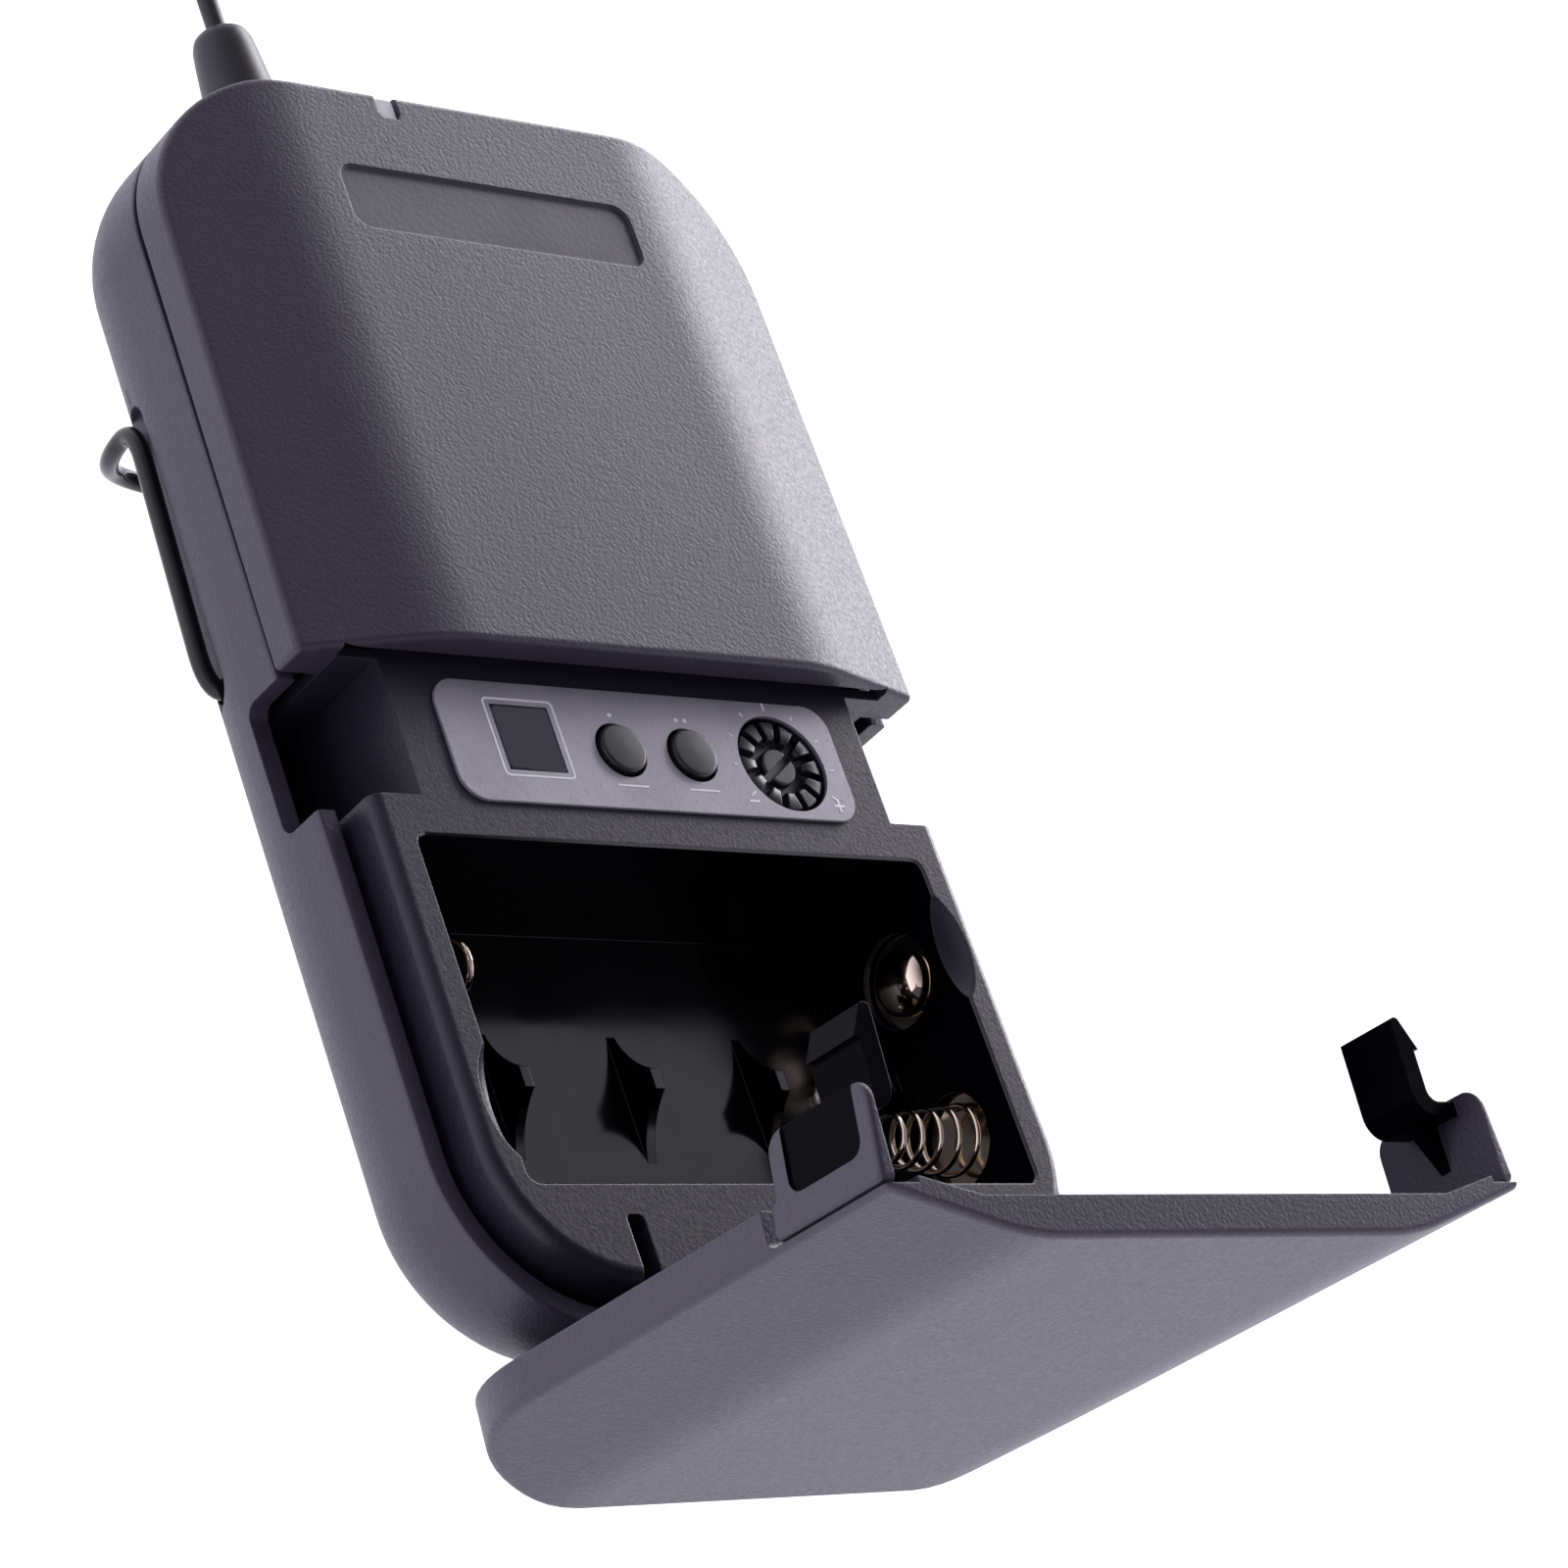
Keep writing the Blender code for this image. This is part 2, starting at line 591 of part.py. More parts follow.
def contact_dome(name, side, y):
    profile = [(3.0, CONTACT_X), (3.0, 26.5), (2.65, 25.7), (1.8, 25.2), (0.5, 25.0)]
    return turned(name, [(radius, side * x) for radius, x in profile], (y, CELL_Z), "x", 20)


def make_spring(name, side, y, turns, look):
    """A conical coil spring whose wide end sits on its plate."""
    per_turn = 12
    count = int(turns * per_turn)
    points = []
    for k in range(count + 1):
        t = k / count
        angle = 2 * math.pi * turns * t
        radius = SPRING_WIDE_RADIUS + (SPRING_NARROW_RADIUS - SPRING_WIDE_RADIUS) * t
        x = side * (SPRING_BASE_X - SPRING_PITCH * turns * t)
        points.append((x, y + radius * math.cos(angle), CELL_Z + radius * math.sin(angle)))
    return tube(name, points, 0.3, look, 1)


# ---------------------------------------------------------------- electronics

def make_electronics(looks):
    z0, z1 = BOARD_Z
    right = [(22.6, -10.6), (22.6, 3.0), (27.8, 3.0), (27.8, 40.0), (21.0, 43.6)]
    outline = [*right, *[(-x, y) for x, y in reversed(right)]]
    board = prism("main_board", outline, z0, z1, "z", looks["board"])
    cut(board, *mirrored(lambda side: rod("board_boss_hole", (side * 18.5, 36.0), 3.9, 8, 12, sides=20)),
        *mirrored(lambda side: rod("board_screw_hole", (side * 24.0, 12.0), 1.1, 8, 12, sides=12)))
    shield = box("rf_shield", (-11.0, 10.0, z1 + 0.1), (13.0, 31.0, 13.4), looks["tin"])
    cut(shield, box("shield_hollow", (-10.7, 10.3, z1 - 1), (12.7, 30.7, 13.1)))
    box("status_led", (LED_X - 1.0, 41.2, z1 + 0.1), (LED_X + 1.0, 43.2, 12.2), looks["lens"])
    lens = box("led_lens", (LED_X - 0.85, 52.8, 14.4), (LED_X + 0.85, 54.7, 20.7), looks["lens"])
    join(lens, box("light_pipe", (LED_X - 0.6, 43.8, 14.6), (LED_X + 0.6, 53.2, 15.8)))
    for side, name in ((-1, "left"), (1, "right")):
        profile = [(0.75, 4.6), (0.75, z1 + 0.05), (1.9, z1 + 0.05), (1.9, z1 + 0.9), (1.3, z1 + 1.2)]
        turned(name + "_board_screw", profile, (side * 24.0, 12.0), sides=16, look=looks["steel"])


# ---------------------------------------------------------------- antenna end

def make_antenna(looks):
    whip = [(WHIP_RADIUS, 48.5), (WHIP_RADIUS, WHIP_TIP_Y - 1.2), (WHIP_RADIUS * 0.8, WHIP_TIP_Y - 0.5),
            (WHIP_RADIUS * 0.3, WHIP_TIP_Y)]
    turned("antenna_whip", whip, ANTENNA_XZ, "y", 12, looks["rubber"])
    foot = [(4.0, 51.2), (4.0, 52.5), (3.0, 52.6), (3.0, 55.3)]
    profile = [*foot, (3.6, 55.35), (3.5, 56.6), (2.75, 64.6), (2.45, 66.3), (1.8, BOOT_TOP_Y)]
    boot = turned("antenna_boot", profile, ANTENNA_XZ, "y", 24, looks["rubber"])
    cut(boot, rod("boot_bore", ANTENNA_XZ, WHIP_RADIUS + 0.2, 50, 70, "y", 16))
    base = rod("antenna_base", ANTENNA_XZ, 2.6, 45.0, 50.9, "y", 20, looks["brass"])
    cut(base, rod("base_bore", ANTENNA_XZ, WHIP_RADIUS + 0.2, 48, 52, "y", 16))


def make_connector(looks):
    cx, cz = CONNECTOR_XZ
    shell = rod("mic_connector_shell", CONNECTOR_XZ, 5.0, 45.4, 58.4, "y", 32, looks["nickel"])
    join(shell, rod("connector_flange", CONNECTOR_XZ, 6.2, 49.2, 50.5, "y", 32))
    cut(shell, rod("connector_socket", CONNECTOR_XZ, 4.1, 45.0, 60.0, "y", 28))
    insert = rod("mic_connector_insert", CONNECTOR_XZ, 3.8, 45.6, 49.0, "y", 24, looks["insulator"])
    spots = [(cx + sx * 1.7, cz + sz * 1.7) for sx in (-1, 1) for sz in (-1, 1)]
    for k, spot in enumerate(spots):
        cut(insert, rod("pin_hole", spot, 0.75, 44, 50, "y", 12))
        turned(f"mic_pin_{k + 1}", [(0.5, 44.2), (0.5, 54.0), (0.25, 54.5)], spot, "y", 12, looks["brass"])
    nut = rod("mic_connector_nut", CONNECTOR_XZ, 6.3, 55.3, 57.3, "y", 24, looks["nickel"])
    cut(nut, rod("nut_bore", CONNECTOR_XZ, 5.25, 54, 59, "y", 32))


def make_power_switch(looks):
    x, z = SWITCH_X, SWITCH_Z
    slider = box("power_slider", (x - 3.1, 52.1, z - 1.3), (x + 0.7, 56.0, z + 1.3), looks["button"])
    starts = [x - 2.6 + 0.95 * k for k in range(3)]
    ridges = [box("slider_groove", (start, 55.5, z - 2), (start + 0.45, 57, z + 2)) for start in starts]
    join(slider, box("slider_foot", (x - 2.2, 50.6, z - 0.6), (x - 0.2, 52.6, z + 0.6)))
    cut(slider, *ridges)
    body = box("power_switch_body", (x - 6.0, 45.2, z - 2.6), (x + 6.0, 51.4, z + 2.6), looks["component"])
    cut(body, box("switch_track", (x - 3.4, 50.2, z - 0.9), (x + 3.4, 52.0, z + 0.9)))


# ---------------------------------------------------------------- fasteners

def make_case_screws(look):
    spots = {"upper": (18.5, 36.0), "lower": (13.5, -12.9)}
    for name, side in itertools.product(spots, (-1, 1)):
        x, y = side * spots[name][0], spots[name][1]
        profile = [(1.9, 0.1), (2.25, 0.35), (2.25, 0.9), (0.9, 1.0), (0.9, 8.6), (0.3, 9.2)]
        side_name = "left" if side < 0 else "right"
        screw = turned(f"case_screw_{name}_{side_name}", profile, (x, y), sides=16, look=look)
        cut(screw, box("drive_a", (x - 1.2, y - 0.25, -1), (x + 1.2, y + 0.25, 0.6)),
            box("drive_b", (x - 0.25, y - 1.2, -1), (x + 0.25, y + 1.2, 0.6)))


def make_hinge_pins(look):
    for side, name in ((-1, "left"), (1, "right")):
        x0, x1 = span(side, 14.5, 19.9)
        rod(name + "_hinge_pin", (HINGE_Y, HINGE_Z), 0.75, x0, x1, "x", 16, look)


# ---------------------------------------------------------------- belt clip

def make_belt_clip(look):
    """One bent spring wire: two pivot ends, two side runs, and a loop behind the case."""
    pivot_y, pivot_z = CLIP_PIVOT
    z = CLIP_LOOP_Z
    half = [
        (27.9, pivot_y, pivot_z),
        (31.0, pivot_y, pivot_z),
        (31.0, CLIP_TOP_Y, 5.9),
        (30.4, CLIP_TOP_Y, 0.6),
        (26.6, CLIP_TOP_Y + 1.6, -3.4),
        (15.5, CLIP_TOP_Y, -3.6),
        (14.0, 20.0, z),
        (14.0, -30.0, z),
    ]
    corners = [(-x, y, h) for x, y, h in half] + [(x, y, h) for x, y, h in reversed(half)]
    clip = tube("belt_clip", rounded_path(corners, 3.4), WIRE_RADIUS, look)
    pivot = Vector((0.0, pivot_y, pivot_z)) * MM
    for point in clip.data.splines[0].points:
        point.co = (*(Vector(point.co[:3]) - pivot), 1.0)
    clip.location = pivot
    return clip


# ---------------------------------------------------------------- battery door

def hang(obj, hinge):
    """Puts a piece modelled with the door shut, and its Boolean helpers, under the hinge empty."""
    obj.parent = hinge
    obj.matrix_parent_inverse = hinge_closed().inverted()
    for modifier in obj.modifiers:
        hang(modifier.object, hinge)


def hinge_closed():
    return Matrix.Translation(Vector((0.0, HINGE_Y, HINGE_Z)) * MM)


def make_battery_door(look, hinge):
    door = crowned_shell("battery_door", (-60.0, DOOR_EDGE_Y), look)
    rib = box("door_edge_rib", (-23.4, DOOR_EDGE_Y - 1.3, 17.9), (23.4, DOOR_EDGE_Y - 0.05, 22.0))
    keep(rib, below_crown("door_rib_crown", 15.0, 0.3))

    def arm(side):
        x0, x1 = span(side, ARM_X - ARM_THICKNESS / 2, ARM_X + ARM_THICKNESS / 2)
        eye = arc((HINGE_Y, HINGE_Z), 2.6, 180, 360, 10)
        return prism("door_arm", [*eye, (HINGE_Y + 2.6, 20.2), (HINGE_Y - 2.6, 20.2)], x0, x1, "x")

    join(door, rib, *mirrored(arm))

    def eye_bore(side):
        x0, x1 = span(side, ARM_X - 2, ARM_X + 2)
        return rod("eye_bore", (HINGE_Y, HINGE_Z), 1.1, x0, x1, "x", 16)

    def latch_gap(side):
        x0, x1 = span(side, 29.0, 34.0)
        return box("latch_gap", (x0, -11.8, 12.0), (x1, 2.0, 17.0))

    cut(door, *mirrored(eye_bore), *mirrored(latch_gap))
    hang(door, hinge)
    return door


def make_latch(side, name, look, hinge):
    """A Z-shaped snap latch: finger pad, web, and a hook head with an outward barb."""
    pad_outline = [(-11.1, 16.8), (-11.1, 14.3), (-10.4, 13.9), *arc((-9.4, 10.2), 1.0, 180, 270, 4),
                   *arc((-0.6, 10.2), 1.0, 270, 360, 4), (0.4, 16.8)]
    x0, x1 = span(side, 30.75, 32.0)
    pad = prism(name, pad_outline, x0, x1, "x", look)
    hook_outline = [(31.4, 9.3), (28.9, 9.3), (28.1, 8.5), (28.1, 5.3), (28.6, 5.3), (27.2, 2.7), (26.4, 2.7),
                    (26.4, 9.0), (27.9, 10.6), (31.4, 10.6)]
    hook = prism(name + "_hook", [(side * x, z) for x, z in hook_outline], -7.3, -2.0, "y")
    gusset = prism(name + "_gusset", [(side * x, z) for x, z in ((28.2, 10.4), (31.2, 10.4), (31.2, 14.6))],
                   -5.2, -4.2, "y")
    join(pad, hook, gusset)
    hang(pad, hinge)
    return pad


# ---------------------------------------------------------------- assembly

def make_looks():
    return {
        "case": material("case_plastic", (0.075, 0.075, 0.088), 0.55),
        "frame": material("frame_plastic", (0.045, 0.045, 0.055), 0.5),
        "label": material("label_print", (0.16, 0.16, 0.18), 0.35, 0.4),
        "window": material("smoked_window", (0.03, 0.035, 0.05), 0.1),
        "button": material("button_plastic", (0.02, 0.02, 0.024), 0.4),
        "component": material("component_body", (0.03, 0.03, 0.03), 0.5),
        "nickel": material("nickel_plate", (0.72, 0.69, 0.64), 0.22, 1.0),
        "steel": material("blackened_steel", (0.05, 0.05, 0.055), 0.35, 0.9),
        "brass": material("brass", (0.75, 0.56, 0.25), 0.3, 1.0),
        "tin": material("tinned_steel", (0.62, 0.62, 0.6), 0.35, 1.0),
        "board": material("board_laminate", (0.02, 0.11, 0.05), 0.45),
        "lens": material("clear_lens", (0.75, 0.78, 0.8), 0.1),
        "insulator": material("insulator", (0.03, 0.03, 0.03), 0.45),
        "rubber": material("antenna_rubber", (0.022, 0.022, 0.026), 0.5),
    }


def main():
    clear_scene()
    looks = make_looks()
    hinge = bpy.data.objects.new("door_hinge", None)
    bpy.context.scene.collection.objects.link(hinge)
    hinge.matrix_world = hinge_closed() @ Matrix.Rotation(DOOR_OPEN, 4, "X")
    make_rear_shell(looks["case"])
    make_front_cover(looks["case"])
    make_chassis(looks["frame"])
    make_control_label(looks["label"])
    make_controls(looks)
    make_battery_contacts(looks)
    make_electronics(looks)
    make_antenna(looks)
    make_connector(looks)
    make_power_switch(looks)
    make_case_screws(looks["steel"])
    make_hinge_pins(looks["steel"])
    make_belt_clip(looks["steel"])
    make_battery_door(looks["case"], hinge)
    make_latch(-1, "left_latch", looks["case"], hinge)
    make_latch(1, "right_latch", looks["case"], hinge)


main()
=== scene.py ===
"""Looks of the wireless bodypack transmitter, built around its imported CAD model.

Lengths are millimetres in the CAD's own frame: +X is right seen from the front with the antenna up, +Y is
towards the antenna end, and +Z is out of the front. MM turns them into metres. Pieces on the door are made
with the door shut, like the CAD source, and then opened about the hinge.
"""

import json
import math

import bmesh
import bpy
from mathutils import Matrix, Vector


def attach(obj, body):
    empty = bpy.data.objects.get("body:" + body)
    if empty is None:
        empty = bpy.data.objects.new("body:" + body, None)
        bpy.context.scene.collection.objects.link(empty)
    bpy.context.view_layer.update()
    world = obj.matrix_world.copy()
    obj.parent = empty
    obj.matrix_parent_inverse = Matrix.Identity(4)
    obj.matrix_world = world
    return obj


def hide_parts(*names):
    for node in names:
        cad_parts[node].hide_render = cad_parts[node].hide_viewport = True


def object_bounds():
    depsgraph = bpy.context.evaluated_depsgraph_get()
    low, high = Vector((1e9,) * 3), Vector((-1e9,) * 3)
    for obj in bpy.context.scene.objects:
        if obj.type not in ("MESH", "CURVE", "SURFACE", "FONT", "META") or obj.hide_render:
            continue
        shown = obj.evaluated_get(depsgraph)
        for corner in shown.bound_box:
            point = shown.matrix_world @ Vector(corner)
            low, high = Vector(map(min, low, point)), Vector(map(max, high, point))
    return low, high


MM = 0.001

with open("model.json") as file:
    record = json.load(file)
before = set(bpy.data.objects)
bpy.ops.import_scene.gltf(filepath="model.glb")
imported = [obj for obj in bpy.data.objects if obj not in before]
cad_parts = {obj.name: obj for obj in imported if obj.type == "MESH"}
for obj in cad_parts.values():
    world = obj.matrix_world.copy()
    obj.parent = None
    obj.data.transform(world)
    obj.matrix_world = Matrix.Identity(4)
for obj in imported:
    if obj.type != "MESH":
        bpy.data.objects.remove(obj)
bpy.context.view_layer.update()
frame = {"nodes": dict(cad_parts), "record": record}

# Case
HALF_LENGTH = 55.0
HALF_WIDTH = 32.0
TOP_NARROWING = 0.8
CROWN_Z = 21.0
CREASE_Z = 17.36
CROWN_HALF = 19.5
CROWN_BLEND = 3.0
SLOPE = (CROWN_Z - CREASE_Z) / (HALF_WIDTH - CROWN_HALF)
RIM_Z = 13.7
COVER_Z = 14.1
HINGE_END_RADIUS = 14.8
ANTENNA_END_RADIUS = 13.0
BACK_RADIUS = 10.0
SIDE_WALL = 1.8
BACK_WALL = 1.6
COVER_WALL = 1.25
COVER_EDGE_Y = 1.1
DOOR_EDGE_Y = 0.7
CREASE_FILLET = 0.55
COVER_RIM_RADIUS = 0.2

# Inner frame
FRAME_INSET = 2.7
FRAME_Z = 17.0
FRAME_BOTTOM_Z = 1.9
FLOOR_Z = 2.7
CELL_RADIUS = 7.25
CELL_Y = (-36.8, -22.0)
CELL_Z = FLOOR_Z + CELL_RADIUS
BAY_Y = (-44.2, -14.6)
BAY_HALF = 26.0
CONTACT_X = 27.0
PLATE_HALF = 4.6
SPRING_BASE_X = 26.4
SPRING_PITCH = 1.85
SPRING_WIDE_RADIUS = 2.9
SPRING_NARROW_RADIUS = 2.0
FIN_X = (-13.2, 0.0, 13.2)
PANEL_HALF = 24.3
POCKET_Y = (-10.8, 0.8)
GAP = 0.3
FRAME_BACK_RADIUS = 7.0
FRAME_TOP_RADIUS = 1.1

# Screws and board posts on the right side, mirrored on the left
UPPER_SCREW = (18.5, 36.0)
LOWER_SCREW = (13.5, -12.9)
BOARD_POST = (24.0, 12.0)

# Door
HINGE_Y = -49.9
HINGE_Z = 7.1
DOOR_OPEN = math.radians(96.0)
ARM_X = 17.2
ARM_THICKNESS = 1.0
ARM_SLOT_X = (ARM_X - 0.85, ARM_X + 0.85)
RIM_CHAMFER = 0.35

# Controls
LABEL_CENTRE = (0.3, -5.9)
LABEL_HALF = (20.5, 5.5)
LABEL_TOP_Z = FRAME_Z + 0.35
BUTTON_X = (-2.8, 4.6)
BUTTON_Y = -6.0
BUTTON_RADIUS = 2.2
KNOB_CENTRE = (14.2, -6.2)
KNOB_RADIUS = 4.2
WINDOW_CENTRE = (-12.0, -5.5)
WINDOW_HALF = (2.8, 2.9)
MARK_Z = (LABEL_TOP_Z - 0.04, LABEL_TOP_Z + 0.02)

# Antenna end
ANTENNA_XZ = (-14.0, 11.5)
WHIP_RADIUS = 0.85
BOOT_TOP_Y = 67.0
WHIP_TIP_Y = 165.0
CONNECTOR_XZ = (17.5, 10.5)
LED_X = -7.4
SWITCH_X = 3.6
SWITCH_Z = 8.5

# Belt clip
CLIP_PIVOT = (5.3, 4.8)
CLIP_LOOP_Z = -5.0
CLIP_TOP_Y = 29.6
WIRE_RADIUS = 0.785

MERGE_DISTANCE = 0.004
COLUMNS = 56

# Camera
CAMERA_PLACE = (-269.83, -184.58, 282.80)
CAMERA_TURN = (39.6284, -36.0828, -22.6735)
CAMERA_LENS = 121.22


# ---------------- shape helpers

def add_object(name, verts, faces, look=None):
    """A mesh object from points in millimetres, with its normals facing out."""
    mesh = bpy.data.meshes.new(name)
    mesh.from_pydata([Vector(v) * MM for v in verts], [], faces)
    bm = bmesh.new()
    bm.from_mesh(mesh)
    bmesh.ops.recalc_face_normals(bm, faces=bm.faces)
    bm.to_mesh(mesh)
    bm.free()
    if look:
        mesh.materials.append(look)
    obj = bpy.data.objects.new(name, mesh)
    bpy.context.scene.collection.objects.link(obj)
    return obj


def loft(name, rings, look=None, split=False):
    """A closed solid through rings of equally many points, capped at both ends.

    Split cuts each side face into two triangles.
    """
    count = len(rings[0])
    verts = [point for ring in rings for point in ring]
    faces = [list(range(count)), list(range(len(verts) - count, len(verts)))]
    for k in range(len(rings) - 1):
        for i in range(count):
            j = (i + 1) % count
            corners = [k * count + i, k * count + j, (k + 1) * count + j, (k + 1) * count + i]
            triangles = [corners[:3], [*corners[2:], corners[0]]]
            faces.extend(triangles if split else [corners])
    return add_object(name, verts, faces, look)


def box(name, low, high, look=None):
    (x0, y0, z0), (x1, y1, z1) = low, high
    ring = [(x0, y0), (x1, y0), (x1, y1), (x0, y1)]
    return loft(name, [[(x, y, z) for x, y in ring] for z in (z0, z1)], look)


PLACES = {
    "x": lambda a, b, t: (t, a, b),
    "y": lambda a, b, t: (a, t, b),
    "z": lambda a, b, t: (a, b, t),
}


def prism(name, outline, start, end, axis="z", look=None):
    """An outline extruded along an axis. Its two numbers are the other two axes, in X, Y, Z order."""
    place = PLACES[axis]
    return loft(name, [[place(a, b, t) for a, b in outline] for t in (start, end)], look)


def arc(centre, radius, start, end, steps):
    """Points along an arc, angles in degrees."""
    angles = [math.radians(start + (end - start) * k / steps) for k in range(steps + 1)]
    return [(centre[0] + radius * math.cos(a), centre[1] + radius * math.sin(a)) for a in angles]


def quarter(radius, steps):
    """A rounded edge from side wall to face: pairs of distances from the wall and from the face."""
    angles = [math.pi / 2 * k / steps for k in range(steps + 1)]
    return [(radius * (1 - math.cos(a)), radius * (1 - math.sin(a))) for a in angles]


def circle(centre, radius, sides=48):
    return arc(centre, radius, 0, 360 - 360 / sides, sides - 1)


def round_box_outline(low, high, radius, steps=8):
    (x0, y0), (x1, y1) = low, high
    r = radius
    centres = [(x1 - r, y1 - r), (x0 + r, y1 - r), (x0 + r, y0 + r), (x1 - r, y0 + r)]
    return [p for k, centre in enumerate(centres) for p in arc(centre, r, 90 * k, 90 * k + 90, steps)]


def corners_of(centre, half):
    """The low and the high corner of a rectangle."""
    return [(centre[0] + sign * half[0], centre[1] + sign * half[1]) for sign in (-1, 1)]


def plate(name, low, high, radius, levels, steps=8, look=None, sharpen=1.0):
    """A rounded plate through levels of (inset, z). With sharpen 0, its corners' radius stays the same."""
    (x0, y0), (x1, y1) = low, high
    rings = []
    for inset, z in levels:
        corners = (x0 + inset, y0 + inset), (x1 - inset, y1 - inset)
        outline = round_box_outline(*corners, radius - sharpen * inset, steps)
        rings.append([(x, y, z) for x, y in outline])
    return loft(name, rings, look)


def rod(name, centre, radius, start, end, axis="z", sides=48, look=None):
    return prism(name, circle(centre, radius, sides), start, end, axis, look)


def turned(name, profile, centre, axis="z", sides=48, look=None):
    """A solid of revolution. The profile is (radius, place along the axis) from one end to the other."""
    place = PLACES[axis]
    rings = [[place(a, b, t) for a, b in circle(centre, radius, sides)] for radius, t in profile]
    return loft(name, rings, look)


def combine(obj, others, operation):
    for other in others:
        modifier = obj.modifiers.new(operation.title(), "BOOLEAN")
        modifier.operation = operation
        modifier.solver = "EXACT"
        modifier.object = other
        other.hide_render = True


def cut(obj, *cutters):
    combine(obj, cutters, "DIFFERENCE")


def join(obj, *others):
    combine(obj, others, "UNION")


def keep(obj, other):
    combine(obj, [other], "INTERSECT")


def helpers_of(obj):
    """The helpers of its Booleans, each after its own."""
    found = [modifier.object for modifier in obj.modifiers if modifier.type == "BOOLEAN"]
    return [deeper for helper in found for deeper in [*helpers_of(helper), helper]]


def settle(obj, smooth_angle=32.0):
    """Applies the Booleans, removes their helpers and shades the result smooth.

    Faces left by a marked cutter keep its finish.
    """
    looks = list(obj.data.materials)
    graph = bpy.context.evaluated_depsgraph_get()
    mesh = bpy.data.meshes.new_from_object(obj.evaluated_get(graph))
    for helper in helpers_of(obj):
        if helper.name in bpy.data.objects:
            bpy.data.objects.remove(helper, do_unlink=True)
    obj.modifiers.clear()
    obj.data = mesh
    bm = bmesh.new()
    bm.from_mesh(mesh)
    bmesh.ops.remove_doubles(bm, verts=bm.verts, dist=MERGE_DISTANCE * MM)
    bmesh.ops.dissolve_degenerate(bm, edges=bm.edges, dist=MERGE_DISTANCE * MM)
    finishes = [min(face.material_index, len(looks) - 1) for face in bm.faces]
    bm.to_mesh(mesh)
    bm.free()
    mesh.materials.clear()
    for look in looks:
        mesh.materials.append(look)
    mesh.polygons.foreach_set("material_index", finishes)
    mesh.shade_smooth()
    mesh.set_sharp_from_angle(angle=math.radians(smooth_angle))
    flat_faces = obj.modifiers.new("Flat faces", "WEIGHTED_NORMAL")
    flat_faces.keep_sharp = True
    return obj


def marked(helper):
    """The faces that this helper leaves on a piece take the piece's second finish."""
    helper.data.materials.append(None)
    helper.data.materials.append(None)
    for polygon in helper.data.polygons:
        polygon.material_index = 1
    return helper


def mirrored(make):
    """Calls make with -1 for the left side and 1 for the right side."""
    return [make(side) for side in (-1, 1)]


def span(side, inner, outer):
    """A range of X on one side, lowest first."""
    return sorted((side * inner, side * outer))


def side_boxes(name, x_range, y_range, z_range):
    """A box on the right side and its mirror image on the left."""
    def make(side):
        x0, x1 = span(side, *x_range)
        return box(name, (x0, y_range[0], z_range[0]), (x1, y_range[1], z_range[1]))
    return mirrored(make)


def side_rods(name, centre, radius, start, end):
    """A rod along Z on the right side and its mirror image on the left."""
    return mirrored(lambda side: rod(name, (side * centre[0], centre[1]), radius, start, end))


def cross_rods(name, centre, radius, x_range):
    """A rod along X, with its centre in Y and Z, on both sides."""
    return mirrored(lambda side: rod(name, centre, radius, *span(side, *x_range), "x"))


def cross_prisms(name, outline, x_range):
    """An outline in Y and Z, extruded along X, on both sides."""
    return mirrored(lambda side: prism(name, outline, *span(side, *x_range), "x"))


def side_prism(name, side, outline, start, end):
    """An outline in X and Z of the right side, extruded along Y, for one side."""
    return prism(name, [(side * x, z) for x, z in outline], start, end, "y")


def open_door(obj):
    """Turns a piece made with the door shut to where the door stands open at rest."""
    pivot = Matrix.Translation(Vector((0.0, HINGE_Y, HINGE_Z)) * MM)
    obj.data.transform(pivot @ Matrix.Rotation(DOOR_OPEN, 4, "X") @ pivot.inverted())
    return obj


# ---------------- case shapes

def narrowed(x, y):
    """The case is a little narrower towards the antenna end."""
    return x * (1 - TOP_NARROWING / HALF_WIDTH * max(0.0, y / HALF_LENGTH))


def case_outline(inset=0.0, steps=20):
    """The case seen from the front, from the right side round past the antenna end, moved in by inset."""
    half_x = HALF_WIDTH - inset
    half_y = HALF_LENGTH - inset
    top = max(ANTENNA_END_RADIUS - inset, 0.6)
    low = max(HINGE_END_RADIUS - inset, 0.6)
    outline = [
        *arc((half_x - top, half_y - top), top, 0, 90, steps),
        *arc((top - half_x, half_y - top), top, 90, 180, steps),
        *arc((low - half_x, low - half_y), low, 180, 270, steps),
        *arc((half_x - low, low - half_y), low, 270, 360, steps),
    ]
    return [(narrowed(x, y), y) for x, y in outline]


def crown_height(x):
    """The front's height across its width: a flat crown, a soft change, and two slopes."""
    past = abs(x) - CROWN_HALF
    if past < -CROWN_BLEND:
        return CROWN_Z
    if past > CROWN_BLEND:
        return CROWN_Z - SLOPE * past
    return CROWN_Z - SLOPE * (past + CROWN_BLEND) ** 2 / (4 * CROWN_BLEND)


